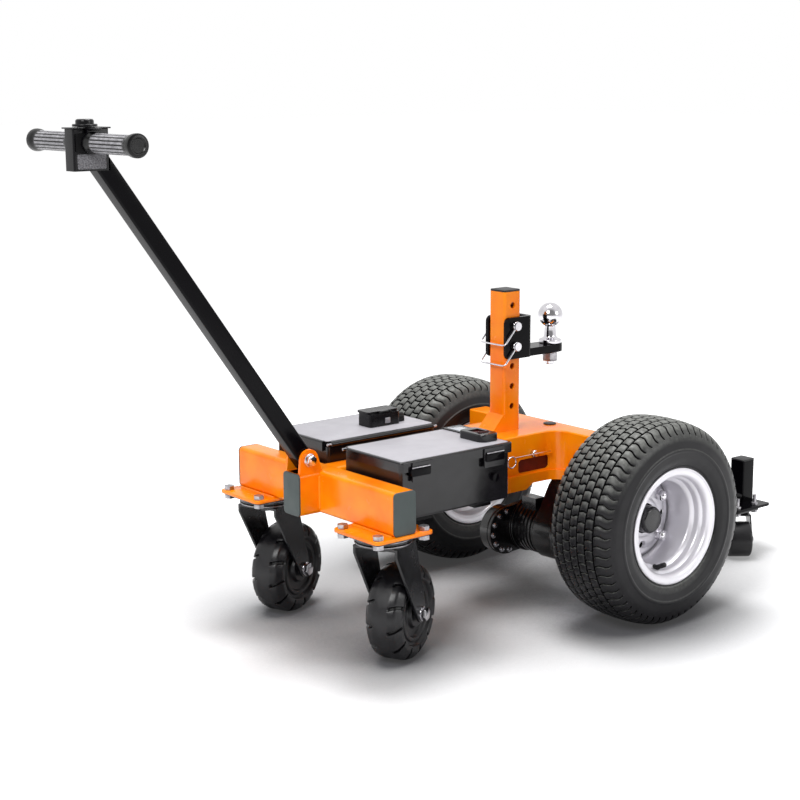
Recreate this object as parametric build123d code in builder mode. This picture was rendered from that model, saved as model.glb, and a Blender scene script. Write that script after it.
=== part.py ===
from build123d import *
from math import cos, hypot, radians, sin
import os

os.makedirs("parts", exist_ok=True)

# An electric trailer dolly. Millimetres, +Z up, +X towards the ball and the rear rollers,
# -X towards the handle, -Y the near side. The origin lies on the ground, midway along the whole dolly.

# Gaps: parts that only sit beside each other, running fits, and bolts in their holes
seat_gap = 0.3
running_gap = 0.06
bolt_clearance = 0.25

# Stations along X, each measured from the drive axle
axle_x = 248.0
beam_to_axle = 571.4
frame_front_to_axle = 192.0
post_to_axle = 111.4
ball_behind_axle = 15.0
box_rear_to_axle = 275.4

# Rectangular tube of the front beam, the handle stub and the spine
beam_length = 482.0
beam_depth = 50.0
beam_height = 80.0
beam_bottom = 263.0
beam_corner = 8.0
tube_wall = 4.0
stub_reach = 43.0
spine_width = 48.0

# Plastic caps that close the tube ends
cap_plate = 4.0
cap_plug = 14.0

# Rear frame: a welded box, T-shaped in plan, with a lip round its lower edge
frame_width = 151.0
frame_top = 352.0
frame_bottom = 252.0
frame_wall = 5.0
nose_drop = 11.0
nose_length = 67.0
nose_slope = 20.0
crossbar_length = 390.0
crossbar_depth = 50.0
crossbar_offset = 11.0
inner_corner = 35.0
front_corner = 14.0
lip_height = 20.0
lip_thickness = 5.0
window_length = 84.0
window_height = 28.0
window_middle = 289.0
window_to_axle = 100.0
window_corner = 8.0
crossbar_corner = 6.0
top_edge = 3.0

# Pull pin above the side window
pull_pin_radius = 5.0
pull_pin_height = 312.0
pull_pin_length = 30.0
pull_pin_forward = 9.0
pull_knob_radius = 7.5
pull_knob_length = 9.0
pull_wire = 1.6
pull_wire_front = 58.0
pull_wire_back = 40.0
pull_ring_radius = 11.0
pull_ring_drop = 7.8

# Plug in the top of the crossbar
plug_radius = 13.0
plug_stem_radius = 9.0
plug_height = 2.5
plug_from_middle = 29.0

# Hitch post with its row of cross holes, and the wedge at its foot
post_side = 45.0
post_corner = 6.0
post_height = 282.0
post_hole_radius = 6.25
post_hole_count = 6
post_hole_pitch = 41.0
lowest_hole = 49.6
gusset_height = 34.0
gusset_length = 32.0

# Ball bracket: a bent channel round the post, with a round-ended tongue
bracket_plate = 8.0
bracket_height = 84.0
bracket_length = 73.0
bracket_lead = 2.0
bracket_bend = 12.0
tongue_width = 50.0
tongue_thickness = 16.0
pins_from_top = (1, 2)
bracket_below_pin = 25.6

# Tow ball
ball_diameter = 50.8
ball_rise = 58.0
neck_radius = 11.5
ball_flange_radius = 23.0
ball_flange_height = 10.0
neck_blend = 6.0
shank_radius = 9.5
shank_length = 44.0
shank_chamfer = 1.5
ball_nut_flats = 28.0
ball_nut_height = 18.0
washer_radius = 17.0
washer_height = 3.0

# Hitch pins and their wire bails
pin_radius = 6.0
pin_head_radius = 8.5
pin_collar = 3.0
pin_groove = 4.0
pin_button = 2.5
pin_reach = 14.0
pin_tip_chamfer = 1.5
bail_wire = 1.75
bail_forward = 33.0
bail_drop = 36.0
bail_corner = 6.0
eye_arc = 359.0
hook_arc = 200.0

# Handle stub ears, tiller pivot and tiller tube
pivot_ahead_of_beam = 45.6
pivot_above_stub = 24.0
ear_radius = 20.0
ear_base = 51.0
ear_foot = 6.0
ear_thickness = 6.0
pivot_bolt_radius = 6.0
tiller_side = 32.0
tiller_wall = 2.5
tiller_corner = 4.0
tiller_tail = 14.0
ear_side_gap = 1.2

# Control head, handle bar and grips; heights are above the ground at rest
head_below_bar = 45.0
head_height = 68.0
head_length = 65.0
head_width = 30.0
head_corner = 3.0
head_wall = 2.5
head_to_axle = 1033.5
recess_length = 30.0
recess_height = 30.0
recess_depth = 1.2
recess_drop = 22.0
handle_height = 955.0
handle_to_axle = 1037.0
handle_radius = 11.0
handle_wall = 2.0
handle_half_length = 168.0
grip_start = 25.0
grip_inner_radius = 15.5
grip_waist_radius = 14.5
grip_bell_radius = 19.5
grip_bell_length = 22.0
grip_end_wall = 3.0
grip_edge = 2.0
flute_count = 12
flute_radius = 2.0
flute_depth = 0.6

# Speed knob on the control head, and the thumb throttle beside it
knob_radius = 20.5
knob_skirt = 4.0
knob_dome_radius = 15.0
knob_height = 12.0
knob_collar = 2.7
knob_collar_radius = 12.0
knob_stem_radius = 4.0
knob_stem_length = 12.0
knob_edge = 4.0
knob_lip = 1.5
knob_to_axle = 1036.0
throttle_ring_radius = 16.5
throttle_ring_width = 7.0
throttle_reach = 30.0
throttle_paddle = 14.0
throttle_thickness = 4.0
throttle_rise = 20.5
throttle_corner = 3.0

# Caster plates, welded under the front beam
plate_length = 133.0
plate_width = 131.0
plate_thickness = 6.0
caster_ahead_of_beam = 2.0
plate_corner = 12.0
plate_from_beam_end = 56.8
plate_bolt_radius = 6.0
plate_bolts_x = 104.0
plate_bolts_y = 102.0
hex_flats_m12 = 18.0
hex_height_m12 = 8.0

# Front casters
race_radius = 52.0
race_height = 11.0
caster_flange = 3.0
caster_flange_inset = 5.0
race_corner = 8.0
race_edge = 4.0
kingpin_radius = 8.0
kingpin_nut_radius = 14.0
kingpin_nut_height = 8.0
fork_plate = 5.0
fork_disc = 5.0
fork_disc_radius = 50.0
fork_half_gap = 39.0
fork_front = 34.0
fork_back = 44.0
fork_shoulder = 15.0
fork_leg_end = 17.0
wheel_radius = 90.0
wheel_width = 72.0
wheel_shoulder = 14.0
wheel_recess = 8.0
wheel_dish = 4.0
wheel_crown = 2.0
wheel_rim_radius = 62.0
wheel_hub_radius = 24.0
hub_spacer_gap = 0.6
axle_bolt_radius = 6.0
axle_head_flats = 22.0
axle_head_height = 9.0
axle_washer_radius = 13.5
axle_washer = 2.0
caster_trail = 70.0
swivel_near = 25.0
swivel_far = 22.0
lug_count = 12
lug_gap_width = 7.0
lug_gap_depth = 6.0
lug_gap_length = 20.0

# Rear arms: a sloping tube, a foot plate and an upright
arm_side = 40.0
arm_wall = 3.0
arm_from_middle = 80.0
arm_start_height = 310.0
arm_slope = 21.8
arm_end_behind_axle = 505.0
foot_start = 455.0
foot_end = 571.0
foot_inner = 58.0
foot_outer = 144.0
foot_top = 108.0
foot_thickness = 6.0
foot_corner = 6.0
upright_side = 38.0
upright_corner = 4.0
upright_behind_axle = 548.0
upright_top = 200.0

# Rear casters
rear_swivel_behind_axle = 500.0
rear_swivel_from_middle = 104.0
rear_flange_side = 76.0
rear_flange = 4.0
rear_race_radius = 28.0
rear_race_height = 7.0
rear_kingpin_radius = 5.0
rear_kingpin_nut = 8.0
rear_kingpin_nut_height = 5.0
rear_fork_plate = 3.0
rear_fork_front = 22.0
rear_fork_back = 28.0
rear_fork_shoulder = 8.0
rear_leg_end = 11.0
roller_side_gap = 1.5
roller_radius = 39.0
roller_width = 50.0
roller_edge = 4.0
roller_recess = 4.0
roller_recess_middle = 21.0
roller_recess_width = 12.0
rivet_radius = 4.0
rivet_head_radius = 7.0
rivet_head_height = 3.0
rivet_taper = 20.0
rear_trail = 38.0
rear_swivel_near = 231.5
rear_swivel_far = 205.0
rear_bolt_radius = 4.0
rear_bolt_spacing = 58.0
rear_bolt_stand = 24.0
hex_flats_m8 = 13.0
hex_height_m8 = 6.0

# Drive wheels, 16 x 6.50-8
track = 580.0
tyre_radius = 203.0
tyre_width = 165.0
tread_half = 60.0
tread_drop = 5.0
tyre_wall = 9.0
tyre_bulge_radius = 150.0
tyre_shoulder_radius = 188.0
shoulder_inset = 9.0
bead_width = 16.0
bead_toe = 6.0
tread_thickness = 15.0
shoulder_lugs = 24
shoulder_gap = 9.0
shoulder_gap_depth = 8.0
shoulder_gap_length = 34.0
groove_places = (-22.0, 22.0)
groove_width = 6.0
groove_depth = 5.0
bead_seat_radius = 101.6
rim_flange_radius = 114.5
rim_width = 150.0
rim_flange_width = 6.5
rim_sheet = 3.5
rim_well_radius = 86.0
rim_well_half = 34.0
rim_seat_length = 19.0
disc_inboard = 11.0
disc_plate = 5.0
disc_step = 8.0
disc_flat_radius = 70.0
disc_bore = 27.0
hand_hole_circle = 58.0
hand_hole_radius = 7.0
lug_circle = 114.3
stud_count = 4
stud_radius = 6.0
stud_angle = 45.0
stud_show = 3.0
lug_nut_flats = 19.0
lug_nut_height = 16.0

# Hubs and half shafts
hub_flange_radius = 71.0
hub_flange_plate = 10.0
hub_barrel_radius = 32.0
hub_barrel_length = 34.0
hub_pilot_end = 20.0
hub_pilot_edge = 5.0
half_shaft_radius = 10.0
half_shaft_length = 60.0

# Axle tubes, their saddles and clamps
axle_tube_radius = 14.5
tube_to_barrel = 3.0
saddle_from_middle = 164.0
saddle_length = 40.0
saddle_width = 76.0
saddle_pad = 6.0
clamp_width = 26.0
clamp_strap = 5.0
clamp_bolt_spacing = 60.0
clamp_ear = 14.0

# Gear case on the axle, the motor in front of and below it, and the housing on its far end
case_radius = 62.0
case_near = 125.0
case_far_side = 70.0
case_wall = 6.0
case_boss = 12.0
badge_length = 44.0
badge_height = 34.0
badge_rise = 1.5
case_fillet = 8.0
motor_radius = 55.0
motor_flange_radius = 57.5
motor_flange = 8.0
motor_ahead_of_axle = 39.0
motor_height = 141.0
motor_rib_count = 5
motor_rib_gap = 5.0
motor_rib_depth = 2.5
terminal_length = 40.0
terminal_width = 26.0
terminal_height = 12.0
terminal_shift = 22.0
reduction_radius = 49.0
reduction_ahead_of_axle = 99.0
reduction_height = 135.0
reduction_plate = 12.0
reduction_length = 22.0
reduction_web_radius = 50.0
reduction_bolt_radius = 4.0
reduction_bolt_circle = 41.0
reduction_bolts = 6
reduction_bolt_head = 4.0

# Battery boxes and lids
box_length = 263.0
box_width = 168.0
box_bottom = 272.0
box_height = 98.7
box_wall = 3.0
box_corner = 8.0
box_to_spine = 1.0
strap_width = 40.0
strap_thickness = 8.0
strap_inset = 60.0
strap_margin = 8.0
lid_thickness = 10.0
lid_edge = 3.0
lid_skirt = 9.0
lid_skirt_wall = 4.0
lid_skirt_gap = 1.0
lid_rim = 8.0
skirt_clear_of_hinge = 13.0
lid_sheet = 3.0
hinge_barrel = 4.5
hinge_rise = 4.9
hinge_pin_radius = 2.5
hinge_ear = 6.0
hinge_ear_foot = 11.0
hinge_pin_show = 3.0
clip_width = 50.0
clip_from_ends = 45.0
clip_drop = 29.0
clip_plate = 3.0
clip_rise = 7.0
clip_catch = 4.0
port_radius = 8.0
port_depth = 1.5
port_from_rear = 38.0
port_height = 323.0

# What the boxes hold
cell_length = 122.0
cell_width = 152.0
cell_height = 78.0
cell_gap = 6.0
cell_edge = 3.0
cell_terminal = 6.0
controller_length = 92.0
controller_width = 140.0
controller_height = 56.0
controller_fins = 8
fin_height = 8.0
fin_width = 4.0
controller_inset = 8.0

# Things on the lids: display, power rocker, charging socket
display_length = 46.0
display_width = 58.0
display_height = 3.0
display_window = 36.0
display_window_width = 46.0
display_sink = 0.8
display_ahead_of_axle = 278.0
display_from_middle = 56.0
switch_length = 46.0
switch_width = 72.0
switch_height = 15.0
switch_corner = 14.0
switch_ahead_of_axle = 303.0
switch_from_middle = 136.0
rocker_length = 24.0
rocker_width = 34.0
rocker_depth = 9.0
rocker_keel = 6.0
rocker_hollow = 1.5
rocker_tilt = 10.0
rocker_pin_reach = 15.0
rocker_gap = 0.6
rocker_pin_radius = 1.5
socket_length = 74.0
socket_width = 42.0
socket_height = 26.0
socket_corner = 6.0
socket_ahead_of_axle = 365.0
socket_from_middle = 90.0
socket_bore = 14.0
socket_bore_depth = 18.0
socket_snout_length = 22.0
socket_snout_radius = 9.0
cap_length = 76.0
cap_width = 42.0
cap_thickness = 4.0
cap_knuckle = 4.0
cap_pin_radius = 1.5
cap_knuckle_width = 22.0
cap_ear = 4.0
cap_ear_radius = 3.0

# Places that follow from the sizes above
beam_x = axle_x - beam_to_axle
beam_front_x = beam_x - beam_depth / 2
beam_rear_x = beam_x + beam_depth / 2
beam_top = beam_bottom + beam_height
beam_mid_z = beam_bottom + beam_height / 2
stub_front_x = beam_front_x - stub_reach
plate_from_middle = beam_length / 2 - plate_from_beam_end
frame_front_x = axle_x - frame_front_to_axle
crossbar_x = axle_x - crossbar_offset
crossbar_front_x = crossbar_x - crossbar_depth / 2
crossbar_rear_x = crossbar_x + crossbar_depth / 2
post_x = axle_x - post_to_axle
post_top = frame_top + post_height
hole_heights = [frame_top + lowest_hole + i * post_hole_pitch for i in range(post_hole_count)]
pin_heights = [hole_heights[-1 - i] for i in pins_from_top]
bracket_bottom = min(pin_heights) - bracket_below_pin
bracket_front_x = post_x - post_side / 2 - bracket_lead
bracket_rear_x = bracket_front_x + bracket_length
bracket_inner = post_side / 2 + seat_gap
bracket_outer = bracket_inner + bracket_plate
ball_x = axle_x + ball_behind_axle
plug_x = crossbar_x
tongue_top = bracket_bottom + tongue_thickness
ball_z = tongue_top + ball_rise
pivot_x = beam_x - pivot_ahead_of_beam
pivot_z = beam_top + pivot_above_stub
ear_inner = tiller_side / 2 + ear_side_gap
head_x = axle_x - head_to_axle
head_bottom = handle_height - head_below_bar
head_top = head_bottom + head_height
handle_x = axle_x - handle_to_axle
knob_x = axle_x - knob_to_axle
wheel_y = track / 2
rim_half = rim_width / 2
motor_x = axle_x - motor_ahead_of_axle
reduction_x = axle_x - reduction_ahead_of_axle
box_rear_x = axle_x - box_rear_to_axle
box_front_x = box_rear_x - box_length
box_mid_x = box_rear_x - box_length / 2
box_inner_y = spine_width / 2 + box_to_spine
box_outer_y = box_inner_y + box_width
box_mid_y = box_inner_y + box_width / 2
box_top = box_bottom + box_height
lid_bottom = box_top + seat_gap
lid_top = lid_bottom + lid_thickness
hinge_y = box_inner_y - box_to_spine
hinge_z = lid_bottom + hinge_rise
lid_outer_y = box_outer_y + lid_skirt_gap + lid_skirt_wall
lid_overhang = lid_skirt_gap + lid_skirt_wall
sides = {"near": -1, "far": 1}
inward_align = {-1: Align.MIN, 1: Align.MAX}


def publish(piece, name):
    """Label a finished sub-part and write its STEP file."""
    piece.part.label = name
    export_step(piece.part, f"parts/{name}.step")


def rounded_tube(width, height, corner, wall):
    """Section of a rectangular tube, at the place set by the Locations round it."""
    RectangleRounded(width, height, corner)
    RectangleRounded(width - 2 * wall, height - 2 * wall, max(corner - wall, 0.5), mode=Mode.SUBTRACT)


def upright_plane(x, y, heading):
    """Plane that stands on edge along a heading, with its own y axis up and its normal to the right."""
    forward = Vector(cos(radians(heading)), sin(radians(heading)), 0)
    right = Vector(sin(radians(heading)), -cos(radians(heading)), 0)
    return Plane(origin=(x, y, 0), x_dir=forward, z_dir=right)


def axle_plane(centre, outward):
    """Plane through an axle: its x axis runs outward along the axle and its y axis points up."""
    across = Vector(*outward)
    return Plane(origin=centre, x_dir=across, z_dir=across.cross(Vector(0, 0, 1)))


def hexagon(flats):
    """Hexagon by its width across flats."""
    RegularPolygon(flats / 2, 6, major_radius=False)


# Front beam and the tubes welded to it
with BuildPart() as front_beam:
    with BuildSketch(Plane.XZ):
        with Locations((beam_x, beam_mid_z)):
            rounded_tube(beam_depth, beam_height, beam_corner, tube_wall)
    extrude(amount=beam_length / 2, both=True)
publish(front_beam, "front_beam")

with BuildPart() as spine_tube:
    with BuildSketch(Plane.YZ.offset(stub_front_x)):
        with Locations((0, beam_mid_z)):
            rounded_tube(spine_width, beam_height, beam_corner, tube_wall)
    extrude(amount=frame_front_x - stub_front_x)
    # The stub and the spine are coped to the rounded corners of the beam
    with BuildSketch(Plane.XZ):
        with Locations((beam_x, beam_mid_z)):
            RectangleRounded(beam_depth, beam_height, beam_corner)
    extrude(amount=spine_width, both=True, mode=Mode.SUBTRACT)
publish(spine_tube, "spine_tube")

# Plane out of each open tube end, with the tube's width, height, corner and wall
beam_end = (beam_depth, beam_height, beam_corner, tube_wall)
upright_end = (upright_side, upright_side, upright_corner, arm_wall)
cap_seats = [
    (Plane(origin=(beam_x, -beam_length / 2, beam_mid_z), x_dir=(1, 0, 0), z_dir=(0, -1, 0)), beam_end),
    (Plane(origin=(beam_x, beam_length / 2, beam_mid_z), x_dir=(1, 0, 0), z_dir=(0, 1, 0)), beam_end),
    (
        Plane(origin=(stub_front_x, 0, beam_mid_z), x_dir=(0, 1, 0), z_dir=(-1, 0, 0)),
        (spine_width, beam_height, beam_corner, tube_wall),
    ),
    (Plane.XY.offset(post_top).move(Pos(post_x, 0, 0)), (post_side, post_side, post_corner, tube_wall)),
]
for side in sides.values():
    upright_seat = Pos(axle_x + upright_behind_axle, side * arm_from_middle, 0)
    cap_seats.append((Plane.XY.offset(upright_top).move(upright_seat), upright_end))

with BuildPart() as tube_end_caps:
    for seat, (width, height, corner, wall) in cap_seats:
        with BuildSketch(seat):
            RectangleRounded(width, height, corner)
        extrude(amount=cap_plate)
        with BuildSketch(seat):
            inset = 2 * (wall + seat_gap)
            RectangleRounded(width - inset, height - inset, max(corner - wall, 0.5))
        extrude(amount=-cap_plug)
    # The plug in the crossbar is the same kind of plastic piece
    with Locations((plug_x, -plug_from_middle, frame_top)):
        Cylinder(plug_radius, plug_height, align=(Align.CENTER, Align.CENTER, Align.MIN))
        Cylinder(plug_stem_radius, cap_plug, align=(Align.CENTER, Align.CENTER, Align.MAX))
publish(tube_end_caps, "tube_end_caps")

# Ears on the handle stub, coped to its rounded corners, with the pivot bolt and its nut
with BuildPart() as tiller_ears:
    for start in (ear_inner, -ear_inner - ear_thickness):
        with BuildSketch(Plane.XZ.offset(start)):
            with Locations((stub_front_x + ear_base / 2, beam_top - ear_foot / 2)):
                Rectangle(ear_base, ear_foot)
            with Locations((pivot_x, pivot_z)):
                Circle(ear_radius)
            make_hull()
            with Locations((pivot_x, pivot_z)):
                Circle(pivot_bolt_radius + bolt_clearance, mode=Mode.SUBTRACT)
        extrude(amount=ear_thickness)
    with BuildSketch(Plane.YZ.offset(stub_front_x)):
        with Locations((0, beam_mid_z)):
            RectangleRounded(spine_width, beam_height, beam_corner)
    extrude(amount=stub_reach + beam_depth, mode=Mode.SUBTRACT)
    with BuildSketch(Plane.XZ):
        with Locations((beam_x, beam_mid_z)):
            RectangleRounded(beam_depth, beam_height, beam_corner)
    extrude(amount=spine_width, both=True, mode=Mode.SUBTRACT)
publish(tiller_ears, "tiller_ears")

with BuildPart() as tiller_pivot_bolt:
    with BuildSketch(Plane.XZ):
        with Locations((pivot_x, pivot_z)):
            Circle(pivot_bolt_radius)
    extrude(amount=ear_inner + ear_thickness, both=True)
    for start in (ear_inner + ear_thickness, -ear_inner - ear_thickness - hex_height_m12):
        with BuildSketch(Plane.XZ.offset(start)):
            with Locations((pivot_x, pivot_z)):
                hexagon(hex_flats_m12)
        extrude(amount=hex_height_m12)
publish(tiller_pivot_bolt, "tiller_pivot_bolt")

# Caster plates under the beam, and every bolt that holds a caster
plate_bottom = beam_bottom - plate_thickness
caster_x = beam_x - caster_ahead_of_beam
with BuildPart() as caster_plates:
    for side in sides.values():
        with BuildSketch(Plane.XY.offset(plate_bottom)):
            with Locations((caster_x, side * plate_from_middle)):
                RectangleRounded(plate_length, plate_width, plate_corner)
                with GridLocations(plate_bolts_x, plate_bolts_y, 2, 2):
                    Circle(plate_bolt_radius + bolt_clearance, mode=Mode.SUBTRACT)
        extrude(amount=plate_thickness)
publish(caster_plates, "caster_plates")

rear_caster_x = axle_x + rear_swivel_behind_axle
with BuildPart() as caster_bolts:
    for side in sides.values():
        front_holes = [
            (caster_x + x, side * plate_from_middle + y)
            for x in (-plate_bolts_x / 2, plate_bolts_x / 2)
            for y in (-plate_bolts_y / 2, plate_bolts_y / 2)
        ]
        rear_columns = (rear_caster_x - rear_bolt_spacing / 2, rear_caster_x + rear_bolt_spacing / 2)
        rear_outer_y = side * (rear_swivel_from_middle + rear_bolt_spacing / 2)
        rear_inner_y = side * (rear_swivel_from_middle - rear_bolt_spacing / 2)
        front_levels = (beam_bottom, plate_bottom - caster_flange)
        rear_levels = (foot_top, foot_top - foot_thickness - rear_flange)
        bolt_sets = [
            (front_holes, plate_bolt_radius, hex_flats_m12, hex_height_m12, front_levels, hex_height_m12),
            ([(x, rear_outer_y) for x in rear_columns], rear_bolt_radius, hex_flats_m8, hex_height_m8,
             rear_levels, rear_bolt_stand),
            # Under the arm the bolts are studs that end flush with the foot plate
            ([(x, rear_inner_y) for x in rear_columns], rear_bolt_radius, hex_flats_m8, hex_height_m8,
             rear_levels, 0),
        ]
        for holes, shank, flats, head, (top, bottom), stand in bolt_sets:
            with BuildSketch(Plane.XY.offset(bottom - head)):
                with Locations(holes):
                    Circle(shank)
            extrude(amount=top - bottom + head + stand)
            for level in (top, bottom - head) if stand else (bottom - head,):
                with BuildSketch(Plane.XY.offset(level)):
                    with Locations(holes):
                        hexagon(flats)
                extrude(amount=head)
publish(caster_bolts, "caster_bolts")

# Flat bars that carry the battery boxes, coped to the spine
with BuildPart() as battery_straps:
    strap_start = spine_width / 2 - beam_corner
    strap_end = box_outer_y - strap_margin
    strap_places = [box_front_x + strap_inset, box_rear_x - strap_inset]
    for side in sides.values():
        with BuildSketch(Plane.XY.offset(box_bottom)):
            with Locations([(x, side * (strap_start + strap_end) / 2) for x in strap_places]):
                Rectangle(strap_width, strap_end - strap_start)
        extrude(amount=-strap_thickness)
    with BuildSketch(Plane.YZ.offset(beam_rear_x)):
        with Locations((0, beam_mid_z)):
            RectangleRounded(spine_width, beam_height, beam_corner)
    extrude(amount=frame_front_x - beam_rear_x, mode=Mode.SUBTRACT)
publish(battery_straps, "battery_straps")


def frame_plan(grow):
    """Outline of the rear frame seen from above, grown evenly; it lies at the lowest edge of the nose."""
    with BuildSketch(Plane.XY.offset(frame_bottom - nose_drop), mode=Mode.PRIVATE) as plan:
        with Locations(((frame_front_x + crossbar_x) / 2, 0)):
            Rectangle(crossbar_x - frame_front_x, frame_width)
        with Locations((crossbar_x, 0)):
            Rectangle(crossbar_depth, crossbar_length)
        inner = plan.vertices().filter_by_position(Axis.Y, -frame_width / 2, frame_width / 2)
        fillet(inner.filter_by_position(Axis.X, crossbar_front_x, crossbar_front_x), inner_corner)
        fillet(plan.vertices().group_by(Axis.X)[0], front_corner)
        ends = plan.vertices().group_by(Axis.Y)
        fillet(ends[0] + ends[-1], crossbar_corner)
        offset(amount=grow)
    return plan.sketch


with BuildPart() as rear_frame:
    frame_low = frame_bottom - nose_drop
    extrude(frame_plan(0), amount=frame_top - frame_low)
    fillet(rear_frame.faces().sort_by(Axis.Z)[-1].edges(), top_edge)
    extrude(frame_plan(lip_thickness), amount=frame_bottom + lip_height - frame_low)
    extrude(frame_plan(-frame_wall), amount=frame_top - frame_wall - frame_low, mode=Mode.SUBTRACT)
    # The lower edge rises behind the nose, so the crossbar clears the axle
    with BuildSketch(Plane.XZ):
        with BuildLine():
            Polyline(
                (frame_front_x + nose_length, frame_low),
                (frame_front_x + nose_length + nose_slope, frame_bottom),
                (crossbar_rear_x + 2 * lip_thickness, frame_bottom),
                (crossbar_rear_x + 2 * lip_thickness, frame_low),
                close=True,
            )
        make_face()
    extrude(amount=crossbar_length, both=True, mode=Mode.SUBTRACT)
    with BuildSketch(Plane.XZ.offset(frame_width / 2 - 2 * frame_wall)):
        with Locations((axle_x - window_to_axle, window_middle)):
            RectangleRounded(window_length, window_height, window_corner)
        with Locations((post_x + pull_pin_forward, pull_pin_height)):
            Circle(pull_pin_radius + running_gap)
    extrude(amount=3 * frame_wall, mode=Mode.SUBTRACT)
    with Locations((plug_x, -plug_from_middle, frame_top)):
        Hole(plug_stem_radius + bolt_clearance, depth=2 * frame_wall)
    # The lip is cut away where the spine butts on
    with BuildSketch(Plane.YZ.offset(frame_front_x - lip_thickness)):
        with Locations((0, beam_mid_z)):
            RectangleRounded(spine_width, beam_height, beam_corner)
    extrude(amount=lip_thickness, mode=Mode.SUBTRACT)
publish(rear_frame, "rear_frame")

# Hitch post, and the wedge before its foot
with BuildPart() as hitch_post:
    with BuildSketch(Plane.XY.offset(frame_top)):
        with Locations((post_x, 0)):
            rounded_tube(post_side, post_side, post_corner, tube_wall)
    extrude(amount=post_height)
    with BuildSketch(Plane.XZ):
        with Locations([(post_x, z) for z in hole_heights]):
            Circle(post_hole_radius)
    extrude(amount=post_side, both=True, mode=Mode.SUBTRACT)
publish(hitch_post, "hitch_post")

with BuildPart() as post_gusset:
    wedge_back = post_x - post_side / 2 + post_corner
    wedge_front = post_x - post_side / 2 - gusset_length
    with BuildSketch(Plane.XZ):
        with BuildLine():
            Polyline(
                (wedge_front, frame_top),
                (wedge_back, frame_top),
                (wedge_back, frame_top + gusset_height),
                (wedge_back - post_corner, frame_top + gusset_height),
                close=True,
            )
        make_face()
    extrude(amount=post_side / 2, both=True)
    with BuildSketch(Plane.XY.offset(frame_top)):
        with Locations((post_x, 0)):
            RectangleRounded(post_side, post_side, post_corner)
    extrude(amount=gusset_height, mode=Mode.SUBTRACT)
publish(post_gusset, "post_gusset")

# Ball bracket: channel round the post and round-ended tongue
with BuildPart() as ball_bracket:
    with BuildSketch(Plane.XY.offset(bracket_bottom)) as channel:
        with Locations(((bracket_front_x + bracket_rear_x) / 2, 0)):
            Rectangle(bracket_length, 2 * bracket_outer)
        fillet(channel.vertices().group_by(Axis.X)[-1], bracket_bend)
        with BuildSketch(Plane.XY.offset(bracket_bottom), mode=Mode.SUBTRACT) as slot:
            with Locations(((bracket_front_x + bracket_rear_x) / 2 - bracket_plate, 0)):
                Rectangle(bracket_length, 2 * bracket_inner)
            fillet(slot.vertices().group_by(Axis.X)[-1], bracket_bend - bracket_plate)
    extrude(amount=bracket_height)
    front_ends = ball_bracket.edges().filter_by(Axis.Y).group_by(Axis.X)[0]
    fillet(front_ends, bracket_bend)
    with BuildSketch(Plane.XY.offset(bracket_bottom)):
        with Locations(((bracket_rear_x - bracket_plate + ball_x) / 2, 0)):
            Rectangle(ball_x - bracket_rear_x + bracket_plate, tongue_width)
        with Locations((ball_x, 0)):
            Circle(tongue_width / 2)
    extrude(amount=tongue_thickness)
    with Locations((ball_x, 0, tongue_top)):
        Hole(shank_radius + bolt_clearance, depth=tongue_thickness)
    with BuildSketch(Plane.XZ):
        with Locations([(post_x, z) for z in pin_heights]):
            Circle(post_hole_radius)
    extrude(amount=2 * bracket_outer, both=True, mode=Mode.SUBTRACT)
publish(ball_bracket, "ball_bracket")

with BuildPart() as tow_ball:
    with Locations((ball_x, 0, tongue_top)):
        Cylinder(ball_flange_radius, ball_flange_height, align=(Align.CENTER, Align.CENTER, Align.MIN))
        Cylinder(neck_radius, ball_rise, align=(Align.CENTER, Align.CENTER, Align.MIN))
    fillet(tow_ball.faces().group_by(Axis.Z)[1].edges(), neck_blend / 2)
    with Locations((ball_x, 0, ball_z)):
        Sphere(ball_diameter / 2)
    with Locations((ball_x, 0, tongue_top)):
        Cylinder(shank_radius, shank_length, align=(Align.CENTER, Align.CENTER, Align.MAX))
    chamfer(tow_ball.edges().group_by(Axis.Z)[0], shank_chamfer)
publish(tow_ball, "tow_ball")

with BuildPart() as ball_nut:
    with BuildSketch(Plane.XY.offset(bracket_bottom)):
        with Locations((ball_x, 0)):
            Circle(washer_radius)
            Circle(shank_radius + bolt_clearance, mode=Mode.SUBTRACT)
    extrude(amount=-washer_height)
    with BuildSketch(Plane.XY.offset(bracket_bottom - washer_height - ball_nut_height)):
        with Locations((ball_x, 0)):
            hexagon(ball_nut_flats)
            Circle(shank_radius + running_gap, mode=Mode.SUBTRACT)
    extrude(amount=ball_nut_height)
publish(ball_nut, "ball_nut")

# Hitch pins, each with a collar, a groove for its bail and a button
groove_start = bracket_outer + pin_collar
button_start = groove_start + pin_groove
near_end = button_start + pin_button
far_tip = bracket_outer + pin_reach
with BuildPart() as hitch_pins:
    pin_steps = [
        (-far_tip, near_end, pin_radius),
        (bracket_outer, groove_start, pin_head_radius),
        (button_start, near_end, pin_head_radius),
    ]
    for start, end, radius in pin_steps:
        with BuildSketch(Plane.XZ.offset(start)):
            with Locations([(post_x, z) for z in pin_heights]):
                Circle(radius)
        extrude(amount=end - start)
    chamfer(hitch_pins.edges().group_by(Axis.Y)[-1], pin_tip_chamfer)
publish(hitch_pins, "hitch_pins")

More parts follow.
